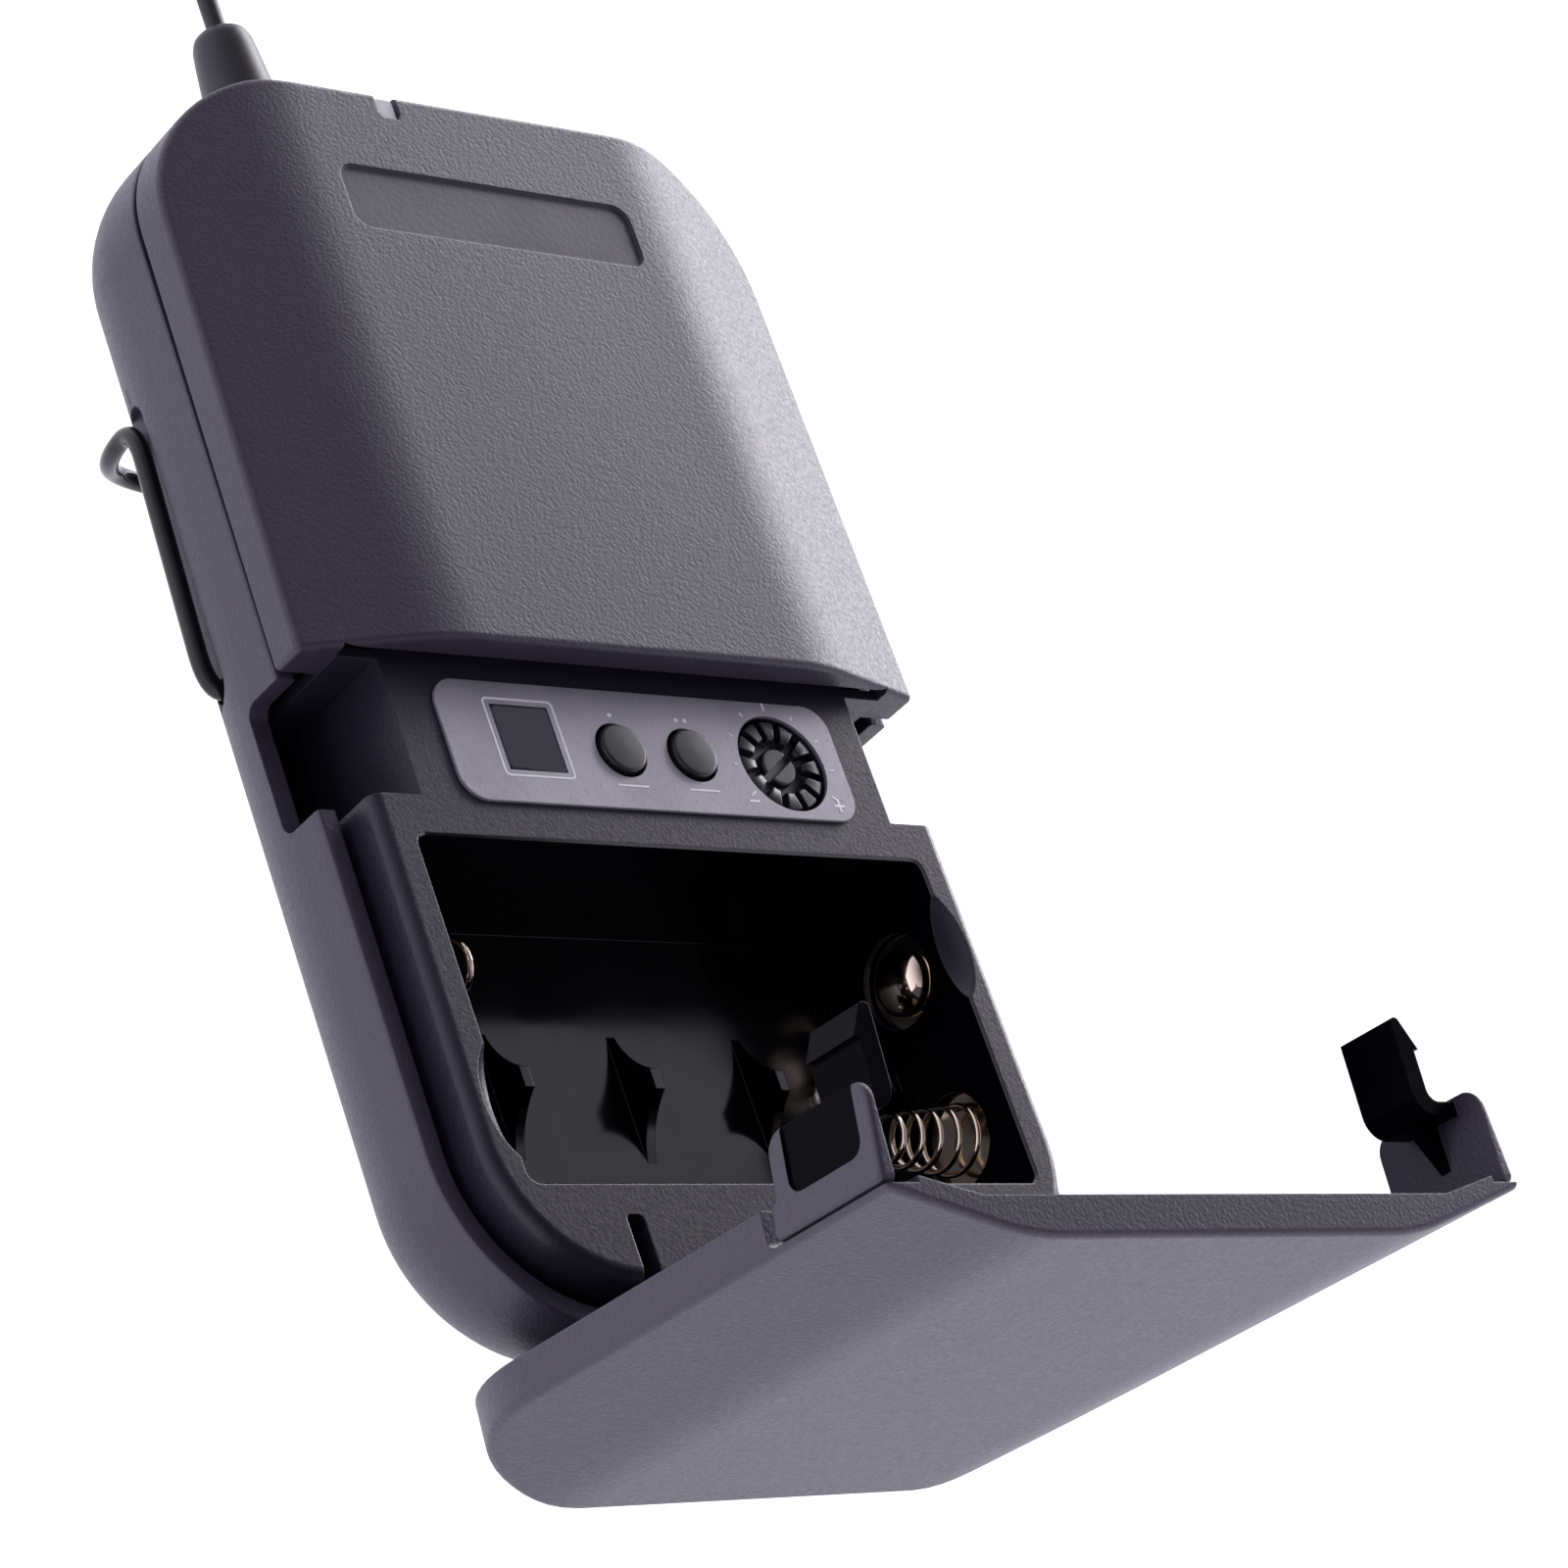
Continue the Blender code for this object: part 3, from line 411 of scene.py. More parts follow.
def plan_rows(y_range, radii, inset):
    """(y, half width) up a plan with rounded ends, moved in by inset. It always gives as many rows."""
    (low_y, high_y), (low_r, high_r) = y_range, radii
    half = HALF_WIDTH - inset
    low_r = max(low_r - inset, 0.15)
    high_r = max(high_r - inset, 0.15)
    low_y += inset
    high_y -= inset
    rows = []
    for k in range(17):
        angle = math.pi / 2 * k / 16
        rows.append((low_y + low_r * (1 - math.cos(angle)), half - low_r * (1 - math.sin(angle))))
    start, end = low_y + low_r, high_y - high_r
    rows.extend((start + (end - start) * k / 16, half) for k in range(1, 16))
    for k in range(17):
        angle = math.pi / 2 * k / 16
        rows.append((high_y - high_r * (1 - math.sin(angle)), half - high_r * (1 - math.cos(angle))))
    return [(y, narrowed(x, y)) for y, x in rows]


def row_points(row, height):
    """Points across one row, with their heights."""
    y, half = row
    xs = [half * (2 * k / COLUMNS - 1) for k in range(COLUMNS + 1)]
    return [(x, y, height(x)) for x in xs]


def border(rows):
    """The rows' outer points as one loop, anticlockwise seen from the front."""
    right = [row[-1] for row in rows[1:-1]]
    left = [row[0] for row in reversed(rows[1:-1])]
    return [*rows[0], *right, *reversed(rows[-1]), *left]


def crowned_shell(name, y_range, radii, look):
    """The curved skin of the front with a rounded crease.

    It is one clean grid outside, one inside, and loops between them: from the crown's edge, down the side,
    round the rim and up inside.
    """
    sections = []
    for inset, fall in reversed(quarter(CREASE_FILLET, 6)):
        sections.append((inset, lambda x, fall=fall: crown_height(x) - fall))
    rim = quarter(COVER_RIM_RADIUS, 3)
    for inset, rise in rim:
        sections.append((inset, lambda x, rise=rise: COVER_Z + rise))
    for inset, rise in reversed(rim):
        sections.append((COVER_WALL - inset, lambda x, rise=rise: COVER_Z + rise))
    sections.append((COVER_WALL, lambda x: crown_height(x) - COVER_WALL * 1.04))
    grids = []
    for inset, height in sections:
        grids.append([row_points(row, height) for row in plan_rows(y_range, radii, inset)])
    verts, faces = [], []

    def add_grid(grid):
        start = len(verts)
        wide = COLUMNS + 1
        verts.extend(point for row in grid for point in row)
        for r in range(len(grid) - 1):
            for c in range(COLUMNS):
                k = start + r * wide + c
                faces.append([k, k + 1, k + wide + 1, k + wide])

    add_grid(grids[0])
    add_grid(grids[-1])
    loops = []
    for grid in grids:
        loop = border(grid)
        loops.append(list(range(len(verts), len(verts) + len(loop))))
        verts.extend(loop)
    for first, second in zip(loops, loops[1:]):
        for i in range(len(first)):
            j = (i + 1) % len(first)
            faces.append([first[i], first[j], second[j], second[i]])
    shell = add_object(name, verts, faces, look)
    bm = bmesh.new()
    bm.from_mesh(shell.data)
    bmesh.ops.remove_doubles(bm, verts=bm.verts, dist=0.002 * MM)
    bmesh.ops.recalc_face_normals(bm, faces=bm.faces)
    bm.to_mesh(shell.data)
    bm.free()
    return shell


# ---------------- materials

def new_material(name, colour, roughness, metallic=0.0, specular=0.5):
    made = bpy.data.materials.new(name)
    made.use_nodes = True
    shader = made.node_tree.nodes["Principled BSDF"]
    shader.inputs["Base Color"].default_value = (*colour, 1.0)
    shader.inputs["Roughness"].default_value = roughness
    shader.inputs["Metallic"].default_value = metallic
    shader.inputs["Specular IOR Level"].default_value = specular
    return made, made.node_tree, shader


def coordinates(tree, stretch=(1.0, 1.0, 1.0)):
    """Object coordinates in metres, stretched along each axis."""
    source = tree.nodes.new("ShaderNodeTexCoord")
    mapping = tree.nodes.new("ShaderNodeMapping")
    mapping.inputs["Scale"].default_value = stretch
    tree.links.new(source.outputs["Object"], mapping.inputs["Vector"])
    return mapping.outputs["Vector"]


def noise(tree, vector, size_mm, detail=2.0):
    node = tree.nodes.new("ShaderNodeTexNoise")
    node.inputs["Scale"].default_value = 1000.0 / size_mm
    node.inputs["Detail"].default_value = detail
    tree.links.new(vector, node.inputs["Vector"])
    return node.outputs["Fac"]


def ramp(tree, value, low, high, dark, light):
    """Maps a value from low..high onto dark..light."""
    node = tree.nodes.new("ShaderNodeMapRange")
    for socket, number in zip(("From Min", "From Max", "To Min", "To Max"), (low, high, dark, light)):
        node.inputs[socket].default_value = number
    tree.links.new(value, node.inputs["Value"])
    return node.outputs["Result"]


def mix_colour(tree, factor, first, second):
    node = tree.nodes.new("ShaderNodeMix")
    node.data_type = "RGBA"
    node.inputs["A"].default_value = (*first, 1.0)
    node.inputs["B"].default_value = (*second, 1.0)
    tree.links.new(factor, node.inputs["Factor"])
    return node.outputs["Result"]


def add_bump(tree, shader, height, depth_mm, under=None):
    node = tree.nodes.new("ShaderNodeBump")
    node.inputs["Distance"].default_value = depth_mm * MM
    node.inputs["Strength"].default_value = 1.0
    tree.links.new(height, node.inputs["Height"])
    if under:
        tree.links.new(under, node.inputs["Normal"])
    tree.links.new(node.outputs["Normal"], shader.inputs["Normal"])


def vary(tree, shader, factor, colour, other):
    """Clouds of a second colour over the first."""
    tree.links.new(mix_colour(tree, factor, colour, other), shader.inputs["Base Color"])


def vary_roughness(tree, shader, factor, low, high):
    tree.links.new(ramp(tree, factor, 0.3, 0.7, low, high), shader.inputs["Roughness"])


def rounded_normals(tree, radius_mm):
    """Normals that soften the sharpest small edges."""
    node = tree.nodes.new("ShaderNodeBevel")
    node.samples = 4
    node.inputs["Radius"].default_value = radius_mm * MM
    return node.outputs["Normal"]


def grained_plastic(name, colour, lighter, roughness, grain_mm, depth_mm, specular=0.5):
    """Moulded plastic with a fine leather-like grain: rounded pebbles with creases between them."""
    made, tree, shader = new_material(name, colour, roughness, 0.0, specular)
    vector = coordinates(tree)
    pebbles = tree.nodes.new("ShaderNodeTexVoronoi")
    pebbles.feature = "SMOOTH_F1"
    pebbles.inputs["Scale"].default_value = 1000.0 / grain_mm
    pebbles.inputs["Smoothness"].default_value = 0.6
    tree.links.new(vector, pebbles.inputs["Vector"])
    fine = noise(tree, vector, grain_mm * 1.3, 3.0)
    height = tree.nodes.new("ShaderNodeMath")
    height.operation = "SUBTRACT"
    tree.links.new(fine, height.inputs[0])
    tree.links.new(pebbles.outputs["Distance"], height.inputs[1])
    add_bump(tree, shader, height.outputs["Value"], depth_mm, rounded_normals(tree, 0.18))
    cloud = noise(tree, vector, 14.0, 3.0)
    vary(tree, shader, cloud, colour, lighter)
    vary_roughness(tree, shader, fine, roughness - 0.05, roughness + 0.07)
    return made


def smooth_plastic(name, colour, lighter, roughness, bump_mm=0.006, speck_mm=0.35, specular=0.5):
    """Satin moulded plastic with faint unevenness."""
    made, tree, shader = new_material(name, colour, roughness, 0.0, specular)
    vector = coordinates(tree)
    fine = noise(tree, vector, speck_mm, 2.0)
    cloud = noise(tree, vector, 9.0, 3.0)
    add_bump(tree, shader, fine, bump_mm, rounded_normals(tree, 0.15))
    vary(tree, shader, cloud, colour, lighter)
    vary_roughness(tree, shader, cloud, roughness - 0.05, roughness + 0.06)
    return made


def metal(name, colour, tarnish, roughness, stretch=(1.0, 1.0, 1.0), bump_mm=0.002):
    """Plated or bare metal with faint draw marks and tarnish."""
    made, tree, shader = new_material(name, colour, roughness, 1.0)
    vector = coordinates(tree, stretch)
    marks = noise(tree, vector, 0.5, 3.0)
    cloud = noise(tree, vector, 3.0, 2.0)
    add_bump(tree, shader, marks, bump_mm)
    vary(tree, shader, cloud, colour, tarnish)
    vary_roughness(tree, shader, marks, roughness * 0.7, roughness * 1.4)
    return made


def printed_film(name):
    """Satin grey printed film with a fine metallic sparkle."""
    made, tree, shader = new_material(name, (0.25, 0.245, 0.275), 0.34, 0.5)
    vector = coordinates(tree, (1.0, 0.35, 1.0))
    sparkle = noise(tree, vector, 0.12, 2.0)
    cloud = noise(tree, vector, 6.0, 2.0)
    vary(tree, shader, cloud, (0.195, 0.192, 0.212), (0.37, 0.364, 0.394))
    vary_roughness(tree, shader, sparkle, 0.27, 0.42)
    add_bump(tree, shader, sparkle, 0.003)
    return made


def window_glass(name):
    """Smoked window, glossy, with faint dust."""
    smoke = (0.022, 0.023, 0.033)
    made, tree, shader = new_material(name, smoke, 0.1)
    dust = noise(tree, coordinates(tree), 1.6, 4.0)
    tree.links.new(ramp(tree, dust, 0.35, 0.75, 0.08, 0.14), shader.inputs["Roughness"])
    vary(tree, shader, dust, smoke, (0.03, 0.031, 0.043))
    return made


def clear_plastic(name):
    """A pale lens, slightly see-through and hazy."""
    made, tree, shader = new_material(name, (0.9, 0.91, 0.92), 0.12)
    shader.inputs["Transmission Weight"].default_value = 0.3
    shader.inputs["IOR"].default_value = 1.49
    haze = noise(tree, coordinates(tree), 0.8, 3.0)
    vary_roughness(tree, shader, haze, 0.08, 0.25)
    return made


def board_laminate(name):
    """Solder mask with copper tracks showing through as a lighter pattern."""
    made, tree, shader = new_material(name, (0.02, 0.11, 0.05), 0.4)
    tracks = tree.nodes.new("ShaderNodeTexBrick")
    tracks.inputs["Scale"].default_value = 420.0
    tracks.inputs["Mortar Size"].default_value = 0.04
    tracks.inputs["Color1"].default_value = (0.02, 0.1, 0.045, 1.0)
    tracks.inputs["Color2"].default_value = (0.025, 0.125, 0.055, 1.0)
    tracks.inputs["Mortar"].default_value = (0.05, 0.2, 0.09, 1.0)
    tree.links.new(coordinates(tree), tracks.inputs["Vector"])
    tree.links.new(tracks.outputs["Color"], shader.inputs["Base Color"])
    return made


LOOKS = {}


def add_looks(make, table):
    """Makes a finish for each row, from its name to the numbers and options that its maker takes."""
    for name, (values, options) in table.items():
        LOOKS[name] = make(name, *values, **options)


# Two colours, roughness, grain size and grain depth in millimetres
add_looks(grained_plastic, {
    "case_plastic": (((0.026, 0.0222, 0.036), (0.032, 0.0275, 0.044), 0.46, 0.3, 0.022), {}),
    "frame_plastic": (
        ((0.0125, 0.0108, 0.0185), (0.0165, 0.0145, 0.024), 0.36, 0.3, 0.012),
        {"specular": 0.34},
    ),
})
# Two colours and roughness
add_looks(smooth_plastic, {
    "button_plastic": (((0.007, 0.007, 0.009), (0.01, 0.01, 0.013), 0.34), {"bump_mm": 0.003}),
    "component_body": (((0.02, 0.02, 0.022), (0.03, 0.03, 0.032), 0.5), {}),
    "blackened_steel": (
        ((0.005, 0.005, 0.006), (0.009, 0.009, 0.011), 0.17),
        {"bump_mm": 0.003, "specular": 0.36},
    ),
    "insulator": (((0.02, 0.02, 0.02), (0.03, 0.03, 0.03), 0.45), {}),
    "plain_plastic": (
        ((0.024, 0.0215, 0.031), (0.029, 0.026, 0.037), 0.5),
        {"bump_mm": 0.02, "speck_mm": 0.5, "specular": 0.4},
    ),
    "polished_plastic": (
        ((0.0015, 0.0015, 0.0025), (0.003, 0.003, 0.0045), 0.15),
        {"bump_mm": 0.001, "specular": 0.8},
    ),
    # Painted shade: an almost black copy of the glossy plastic with almost no reflection, for the bay's
    # walls and fins and for the latches' hooks, gussets and insets.
    "dark_gloss": (
        ((0.001, 0.001, 0.002), (0.002, 0.002, 0.0035), 0.2),
        {"bump_mm": 0.001, "specular": 0.02},
    ),
    "print_white": (((0.8, 0.8, 0.82), (0.86, 0.86, 0.88), 0.5), {"bump_mm": 0.002}),
    "antenna_rubber": (
        ((0.009, 0.0085, 0.011), (0.013, 0.012, 0.016), 0.42),
        {"bump_mm": 0.008, "specular": 0.35},
    ),
})
# Bright colour, tarnished colour and roughness
add_looks(metal, {
    "nickel_plate": (((0.76, 0.72, 0.66), (0.66, 0.61, 0.54), 0.17), {"bump_mm": 0.0008}),
    "contact_plate": (((0.94, 0.82, 0.66), (0.84, 0.7, 0.53), 0.1), {"bump_mm": 0.0006}),
    "brass": (((0.78, 0.57, 0.26), (0.62, 0.42, 0.18), 0.25), {}),
    "tinned_steel": (((0.62, 0.62, 0.6), (0.5, 0.5, 0.49), 0.35), {"stretch": (1.0, 6.0, 1.0)}),
})
LOOKS["label_print"] = printed_film("label_print")
LOOKS["smoked_window"] = window_glass("smoked_window")
LOOKS["board_laminate"] = board_laminate("board_laminate")
LOOKS["clear_lens"] = clear_plastic("clear_lens")


def dress_cad_nodes():
    """Gives every CAD node the finish of its slot in the record."""
    for subpart in frame["record"]["subparts"]:
        node = frame["nodes"][subpart["node"]]
        node.data.materials.clear()
        node.data.materials.append(LOOKS[subpart["material_slot"]])


def stand_in(obj, node, body):
    """The finished piece shows in place of its CAD node and moves with its body."""
    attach(obj, body)
    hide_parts(node)
    return obj


# ---------------- casing

def antenna_end_holes(owner):
    """Cutters through the end wall for the antenna boot, the connector and the power switch."""
    slot = round_box_outline(*corners_of((SWITCH_X, SWITCH_Z), (4.4, 1.7)), 0.6)
    return [
        rod(owner + "_boot_hole", ANTENNA_XZ, 3.3, 50.0, 58.0, "y"),
        rod(owner + "_connector_hole", CONNECTOR_XZ, 5.3, 50.0, 58.0, "y"),
        prism(owner + "_switch_slot", slot, 50.0, 58.0, "y"),
    ]


def make_rear_shell():
    outer = [(RIM_CHAMFER, RIM_Z), (0.1, RIM_Z - 0.1), (0.0, RIM_Z - RIM_CHAMFER)]
    outer += quarter(BACK_RADIUS, 16)
    inner = [(SIDE_WALL - 0.2, RIM_Z), (SIDE_WALL, RIM_Z - 0.2)]
    inner += [(SIDE_WALL + x, BACK_WALL + z) for x, z in quarter(BACK_RADIUS - SIDE_WALL, 12)]
    rings = [[(x, y, z) for x, y in case_outline(inset)] for inset, z in [*reversed(outer), *inner]]
    shell = loft("rear_case", rings, LOOKS["case_plastic"], split=True)

    back_curve = arc((HALF_WIDTH - BACK_RADIUS, BACK_RADIUS), BACK_RADIUS - 0.4, -27, -54, 9)
    backing = [(27.6, 9.1), (30.6, 9.1), *back_curve]
    seat = rod("connector_seat", CONNECTOR_XZ, 6.9, 51.0, HALF_LENGTH, "y")
    keep(seat, box("seat_limit", (0.0, 50.0, 0.0), (30.0, 56.0, RIM_Z)))
    join(
        shell,
        *mirrored(lambda side: side_prism("clip_backing", side, backing, 2.2, 33.0)),
        *side_rods("standoff", BOARD_POST, 2.3, 1.0, 9.1),
        *side_rods("screw_boss", UPPER_SCREW, 3.4, 1.0, 7.2),
        *side_boxes("catch_ledge", (28.95, 30.6), (-8.2, -1.2), (5.6, 6.8)),
        seat,
    )

    latch_notch = round_box_outline((POCKET_Y[0], 9.2), (POCKET_Y[1], 20.0), 1.2)
    clip_recess = round_box_outline((3.4, -8.0), (31.2, 7.4), 1.9, 10)
    hook_relief = [(24.6, 2.3), (27.5, 2.3), (28.9, 4.6), (28.9, 12.0), (24.6, 12.0)]
    cut(
        shell,
        *cross_prisms("latch_notch", latch_notch, (28.0, 34.0)),
        *cross_prisms("clip_recess", clip_recess, (29.4, 34.0)),
        *cross_rods("clip_pivot_hole", CLIP_PIVOT, 1.1, (26.0, 30.3)),
        *side_rods("board_hole", BOARD_POST, 0.9, 3.0, 12.0),
        *mirrored(lambda side: side_prism("hook_relief", side, hook_relief, -8.4, -1.0)),
    )
    for side in (-1, 1):
        for x, y in (UPPER_SCREW, LOWER_SCREW):
            sink = rod("screw_sink", (side * x, y), 2.6, -1.0, 1.15)
            cut(shell, sink, rod("screw_hole", (side * x, y), 1.3, -1.0, 9.0))
    cut(
        shell,
        *side_boxes("arm_slot", ARM_SLOT_X, (-56.0, -50.0), (4.0, 20.0)),
        *antenna_end_holes("rear"),
    )
    stand_in(settle(shell), "rear_shell", "pack")


def make_front_cover():
    ends = (COVER_EDGE_Y, HALF_LENGTH)
    cover = crowned_shell("front_case", ends, (0.5, ANTENNA_END_RADIUS), LOOKS["case_plastic"])
    cover.data.materials.append(LOOKS["plain_plastic"])
    opening = box("cover_opening", (-28.2, 0.0, 12.0), (28.2, COVER_EDGE_Y + 2.2, 18.4))
    notch = [(-1.15, 53.1), (-0.75, 52.5), (0.75, 52.5), (1.15, 53.1), (1.15, 57.0), (-1.15, 57.0)]
    led_notch = prism("led_notch", [(LED_X + x, y) for x, y in notch], 12.0, 24.0)
    levels = ((0.0, CROWN_Z + 1.0), (0.0, CROWN_Z - 0.1), (0.12, CROWN_Z - 0.24), (0.35, CROWN_Z - 0.3))
    badge = marked(plate("badge_recess", (-15.0, 40.6), (15.6, 47.0), 1.6, levels, 12))
    cut(cover, opening, led_notch, badge, *antenna_end_holes("cover"))
    bosses = side_rods("cover_boss", UPPER_SCREW, 2.7, 7.6, 20.3)
    for boss, pilot in zip(bosses, side_rods("cover_pilot", UPPER_SCREW, 1.1, 6.0, 17.5)):
        cut(boss, pilot)
    join(cover, *bosses)
    stand_in(settle(cover), "front_cover", "pack")


# ---------------- inner frame

def control_holes(owner, window_gap):
    """Cutters for the window, the two buttons and the knob."""
    low, high = corners_of(WINDOW_CENTRE, [half + window_gap for half in WINDOW_HALF])
    window = box(owner + "_window_hole", (*low, 14.0), (*high, 18.0))
    radius = BUTTON_RADIUS + GAP
    buttons = [rod(owner + "_button_hole", (x, BUTTON_Y), radius, 14.0, 18.0) for x in BUTTON_X]
    knob = rod(owner + "_knob_hole", KNOB_CENTRE, KNOB_RADIUS + GAP, 14.0, 18.0, sides=96)
    return [window, *buttons, knob]


def scoop(side):
    """A cutter for a finger scoop in the rim beside the positive end of each cell."""
    y = CELL_Y[1] - 0.6 if side > 0 else CELL_Y[0] - 0.6
    depth, half_x, half_y = 2.9, 3.95, 6.0
    angles = [math.radians(a) for a in range(3, 94, 6)]
    bowl = [(math.sin(a), 18.0 - depth * math.cos(a)) for a in angles]
    rings = []
    for share, z in [*bowl, (1.0, 20.0)]:
        unit = circle((0, 0), 1.0, 64)
        rings.append([(side * (24.2 + half_x * share * a), y + half_y * share * b, z) for a, b in unit])
    return loft("scoop", rings)


def contact_slot(side):
    """A cutter for a contact plate's slot and the holes that its contacts pass through."""
    x0, x1 = span(side, CONTACT_X - 0.4, CONTACT_X + 0.4)
    low_y, high_y = CELL_Y[0] - 5.0, CELL_Y[1] + 5.0
    slot = box("contact_slot", (x0, low_y, CELL_Z - 5.6), (x1, high_y, CELL_Z + 4.15))
    x0, x1 = span(side, BAY_HALF - 1.0, CONTACT_X)
    join(slot, *[rod("contact_hole", (y, CELL_Z), 4.0, x0, x1, "x") for y in CELL_Y])
    return slot


def bay_cutter():
    """The battery bay: straight walls, a chamfered rim, and a floor that slopes up at both ends."""
    levels = [(0.0, FLOOR_Z - 1), (0.0, FRAME_Z - 0.2), (-0.25, FRAME_Z + 0.05), (-0.25, 20.0)]
    bay = marked(plate("bay", (-BAY_HALF, BAY_Y[0]), (BAY_HALF, BAY_Y[1]), 1.0, levels))
    right = [(25.0, FLOOR_Z), (BAY_HALF + 0.1, FLOOR_Z + 1.3)]
    right += [(BAY_HALF + 1.0, FLOOR_Z + 1.4), (BAY_HALF + 1.0, 21.0)]
    section = [*right, *[(-x, z) for x, z in reversed(right)]]
    keep(bay, marked(prism("bay_section", section, -50.0, -10.0, "y")))
    return bay


def fin(x):
    """A rib on the bay floor between the two cells, hollowed on both sides to fit them."""
    middle = (CELL_Y[0] + CELL_Y[1]) / 2
    fit = CELL_RADIUS + 0.2
    left = arc((CELL_Y[0], CELL_Z), fit, -80, -29, 14)
    right = arc((CELL_Y[1], CELL_Z), fit, 209, 260, 14)
    base_z = FLOOR_Z - 0.3
    outline = [(middle - 6.1, base_z), *left, *right, (middle + 6.1, base_z)]
    return marked(prism("fin", outline, x - 0.45, x + 0.45, "x"))


def end_fin(side):
    """A fin at the end of the bay, with its foot cut to the sloping floor."""
    made = fin(side * 25.6)
    foot = [(24.0, FLOOR_Z - 0.1), (25.2, FLOOR_Z - 0.1), (26.3, 3.9), (26.3, 12.0), (24.0, 12.0)]
    keep(made, marked(side_prism("fin_foot", side, foot, -40.0, -20.0)))
    return made


def make_chassis():
    low = [(FRAME_INSET + x, FRAME_BOTTOM_Z + z) for x, z in quarter(FRAME_BACK_RADIUS, 8)]
    top = [(FRAME_INSET + x, FRAME_Z - z) for x, z in quarter(FRAME_TOP_RADIUS, 8)]
    rings = [[(x, y, z) for x, y in case_outline(inset)] for inset, z in [*reversed(low), *top]]
    chassis = loft("inner_frame", rings, LOOKS["frame_plastic"], split=True)
    chassis.data.materials.append(LOOKS["polished_plastic"])
    chassis.data.materials.append(LOOKS["dark_gloss"])
    cut(chassis, box("above_bay", (-40.0, POCKET_Y[0] - 0.3, -5.0), (40.0, 60.0, 30.0)))
    cheek_x, end_x = (PANEL_HALF - 1.2, PANEL_HALF), (PANEL_HALF - 0.6, 28.2)
    join(
        chassis,
        box("panel", (-PANEL_HALF, -12.0, 15.4), (PANEL_HALF, 4.0, FRAME_Z)),
        *side_boxes("cheek", cheek_x, (-12.0, 1.9), (FRAME_BOTTOM_Z + 0.6, FRAME_Z)),
        *side_boxes("pocket_end", end_x, (1.0, 1.9), (FRAME_BOTTOM_Z + 3.0, FRAME_Z)),
    )

    def arm_slot(side):
        x0, x1 = span(side, *ARM_SLOT_X)
        return prism("frame_arm_slot", round_box_outline((x0, -57.0), (x1, -46.9), 0.5), 4.0, 20.0)

    cut(chassis, bay_cutter(), *mirrored(contact_slot), *mirrored(scoop))
    cut(
        chassis,
        *mirrored(arm_slot),
        *cross_rods("pin_bore", (HINGE_Y, HINGE_Z), 1.0, (14.2, 20.2)),
        *side_rods("case_pilot", LOWER_SCREW, 1.3, 0.0, 9.5),
        *control_holes("frame", 0.2),
    )
    join(chassis, *[fin(x) for x in FIN_X], *mirrored(end_fin))
    settle(chassis)
    # In the bay, faces that look up keep the polished finish, and its walls and fins take painted shade: a
    # darker, almost unreflecting copy of it.
    for polygon in chassis.data.polygons:
        if polygon.material_index == 1 and polygon.normal.z < 0.7:
            polygon.material_index = 2
    stand_in(chassis, "chassis", "pack")


# ---------------- battery door and latches

def make_door():
    ends = (-HALF_LENGTH, DOOR_EDGE_Y)
    door = crowned_shell("door_panel", ends, (HINGE_END_RADIUS, 0.5), LOOKS["case_plastic"])
    low = [(-31.0, 12.0), (31.0, 12.0), (31.0, 16.0), (23.4, 17.9), (-23.4, 17.9), (-31.0, 16.0)]
    below = prism("door_edge_opening", low, DOOR_EDGE_Y - 2.0, DOOR_EDGE_Y + 1.0, "y")
    eye = arc((HINGE_Y, HINGE_Z), 2.6, 180, 360, 20)
    arm_outline = [*eye, (HINGE_Y + 2.6, 20.2), (HINGE_Y - 2.6, 20.2)]

    def arm(side):
        x0, x1 = span(side, ARM_X - ARM_THICKNESS / 2, ARM_X + ARM_THICKNESS / 2)
        made = prism("door_arm", arm_outline, x0, x1, "x")
        cut(made, rod("eye_bore", (HINGE_Y, HINGE_Z), 1.1, x0 - 1, x1 + 1, "x"))
        return made

    latch_gap = round_box_outline((-11.8, 10.0), (2.0, 17.0), 0.6)
    cut(door, below, *cross_prisms("latch_gap", latch_gap, (29.0, 34.0)))
    join(door, *mirrored(arm))
    stand_in(open_door(settle(door)), "battery_door", "door")


def latch_outer_x(z):
    """The latch pad's outer face leans in towards its lower end."""
    return 32.0 - 0.7 * (16.8 - z) / 6.6


def latch_pad(side, name):
    """The finger pad, with its outer edges rounded."""
    corners = [
        *arc((-10.5, 16.2), 0.6, 90, 180, 6),
        (-11.1, 14.5),
        (-10.4, 14.0),
        *arc((-8.8, 10.8), 1.6, 180, 270, 8),
        *arc((-1.2, 10.8), 1.6, 270, 360, 8),
        *arc((-0.2, 16.2), 0.6, 0, 90, 6),
    ]
    middle, half = (-5.3, 13.0), (5.5, 3.8)
    rings = []
    for inset, depth in ((0.0, None), (0.0, 0.45), (0.04, 0.22), (0.15, 0.07), (0.4, 0.0)):
        ring = []
        for y, z in corners:
            y = middle[0] + (y - middle[0]) * (1 - inset / half[0])
            z = middle[1] + (z - middle[1]) * (1 - inset / half[1])
            ring.append((side * (30.75 if depth is None else latch_outer_x(z) - depth), y, z))
        rings.append(ring)
    return loft(name, rings, LOOKS["case_plastic"])


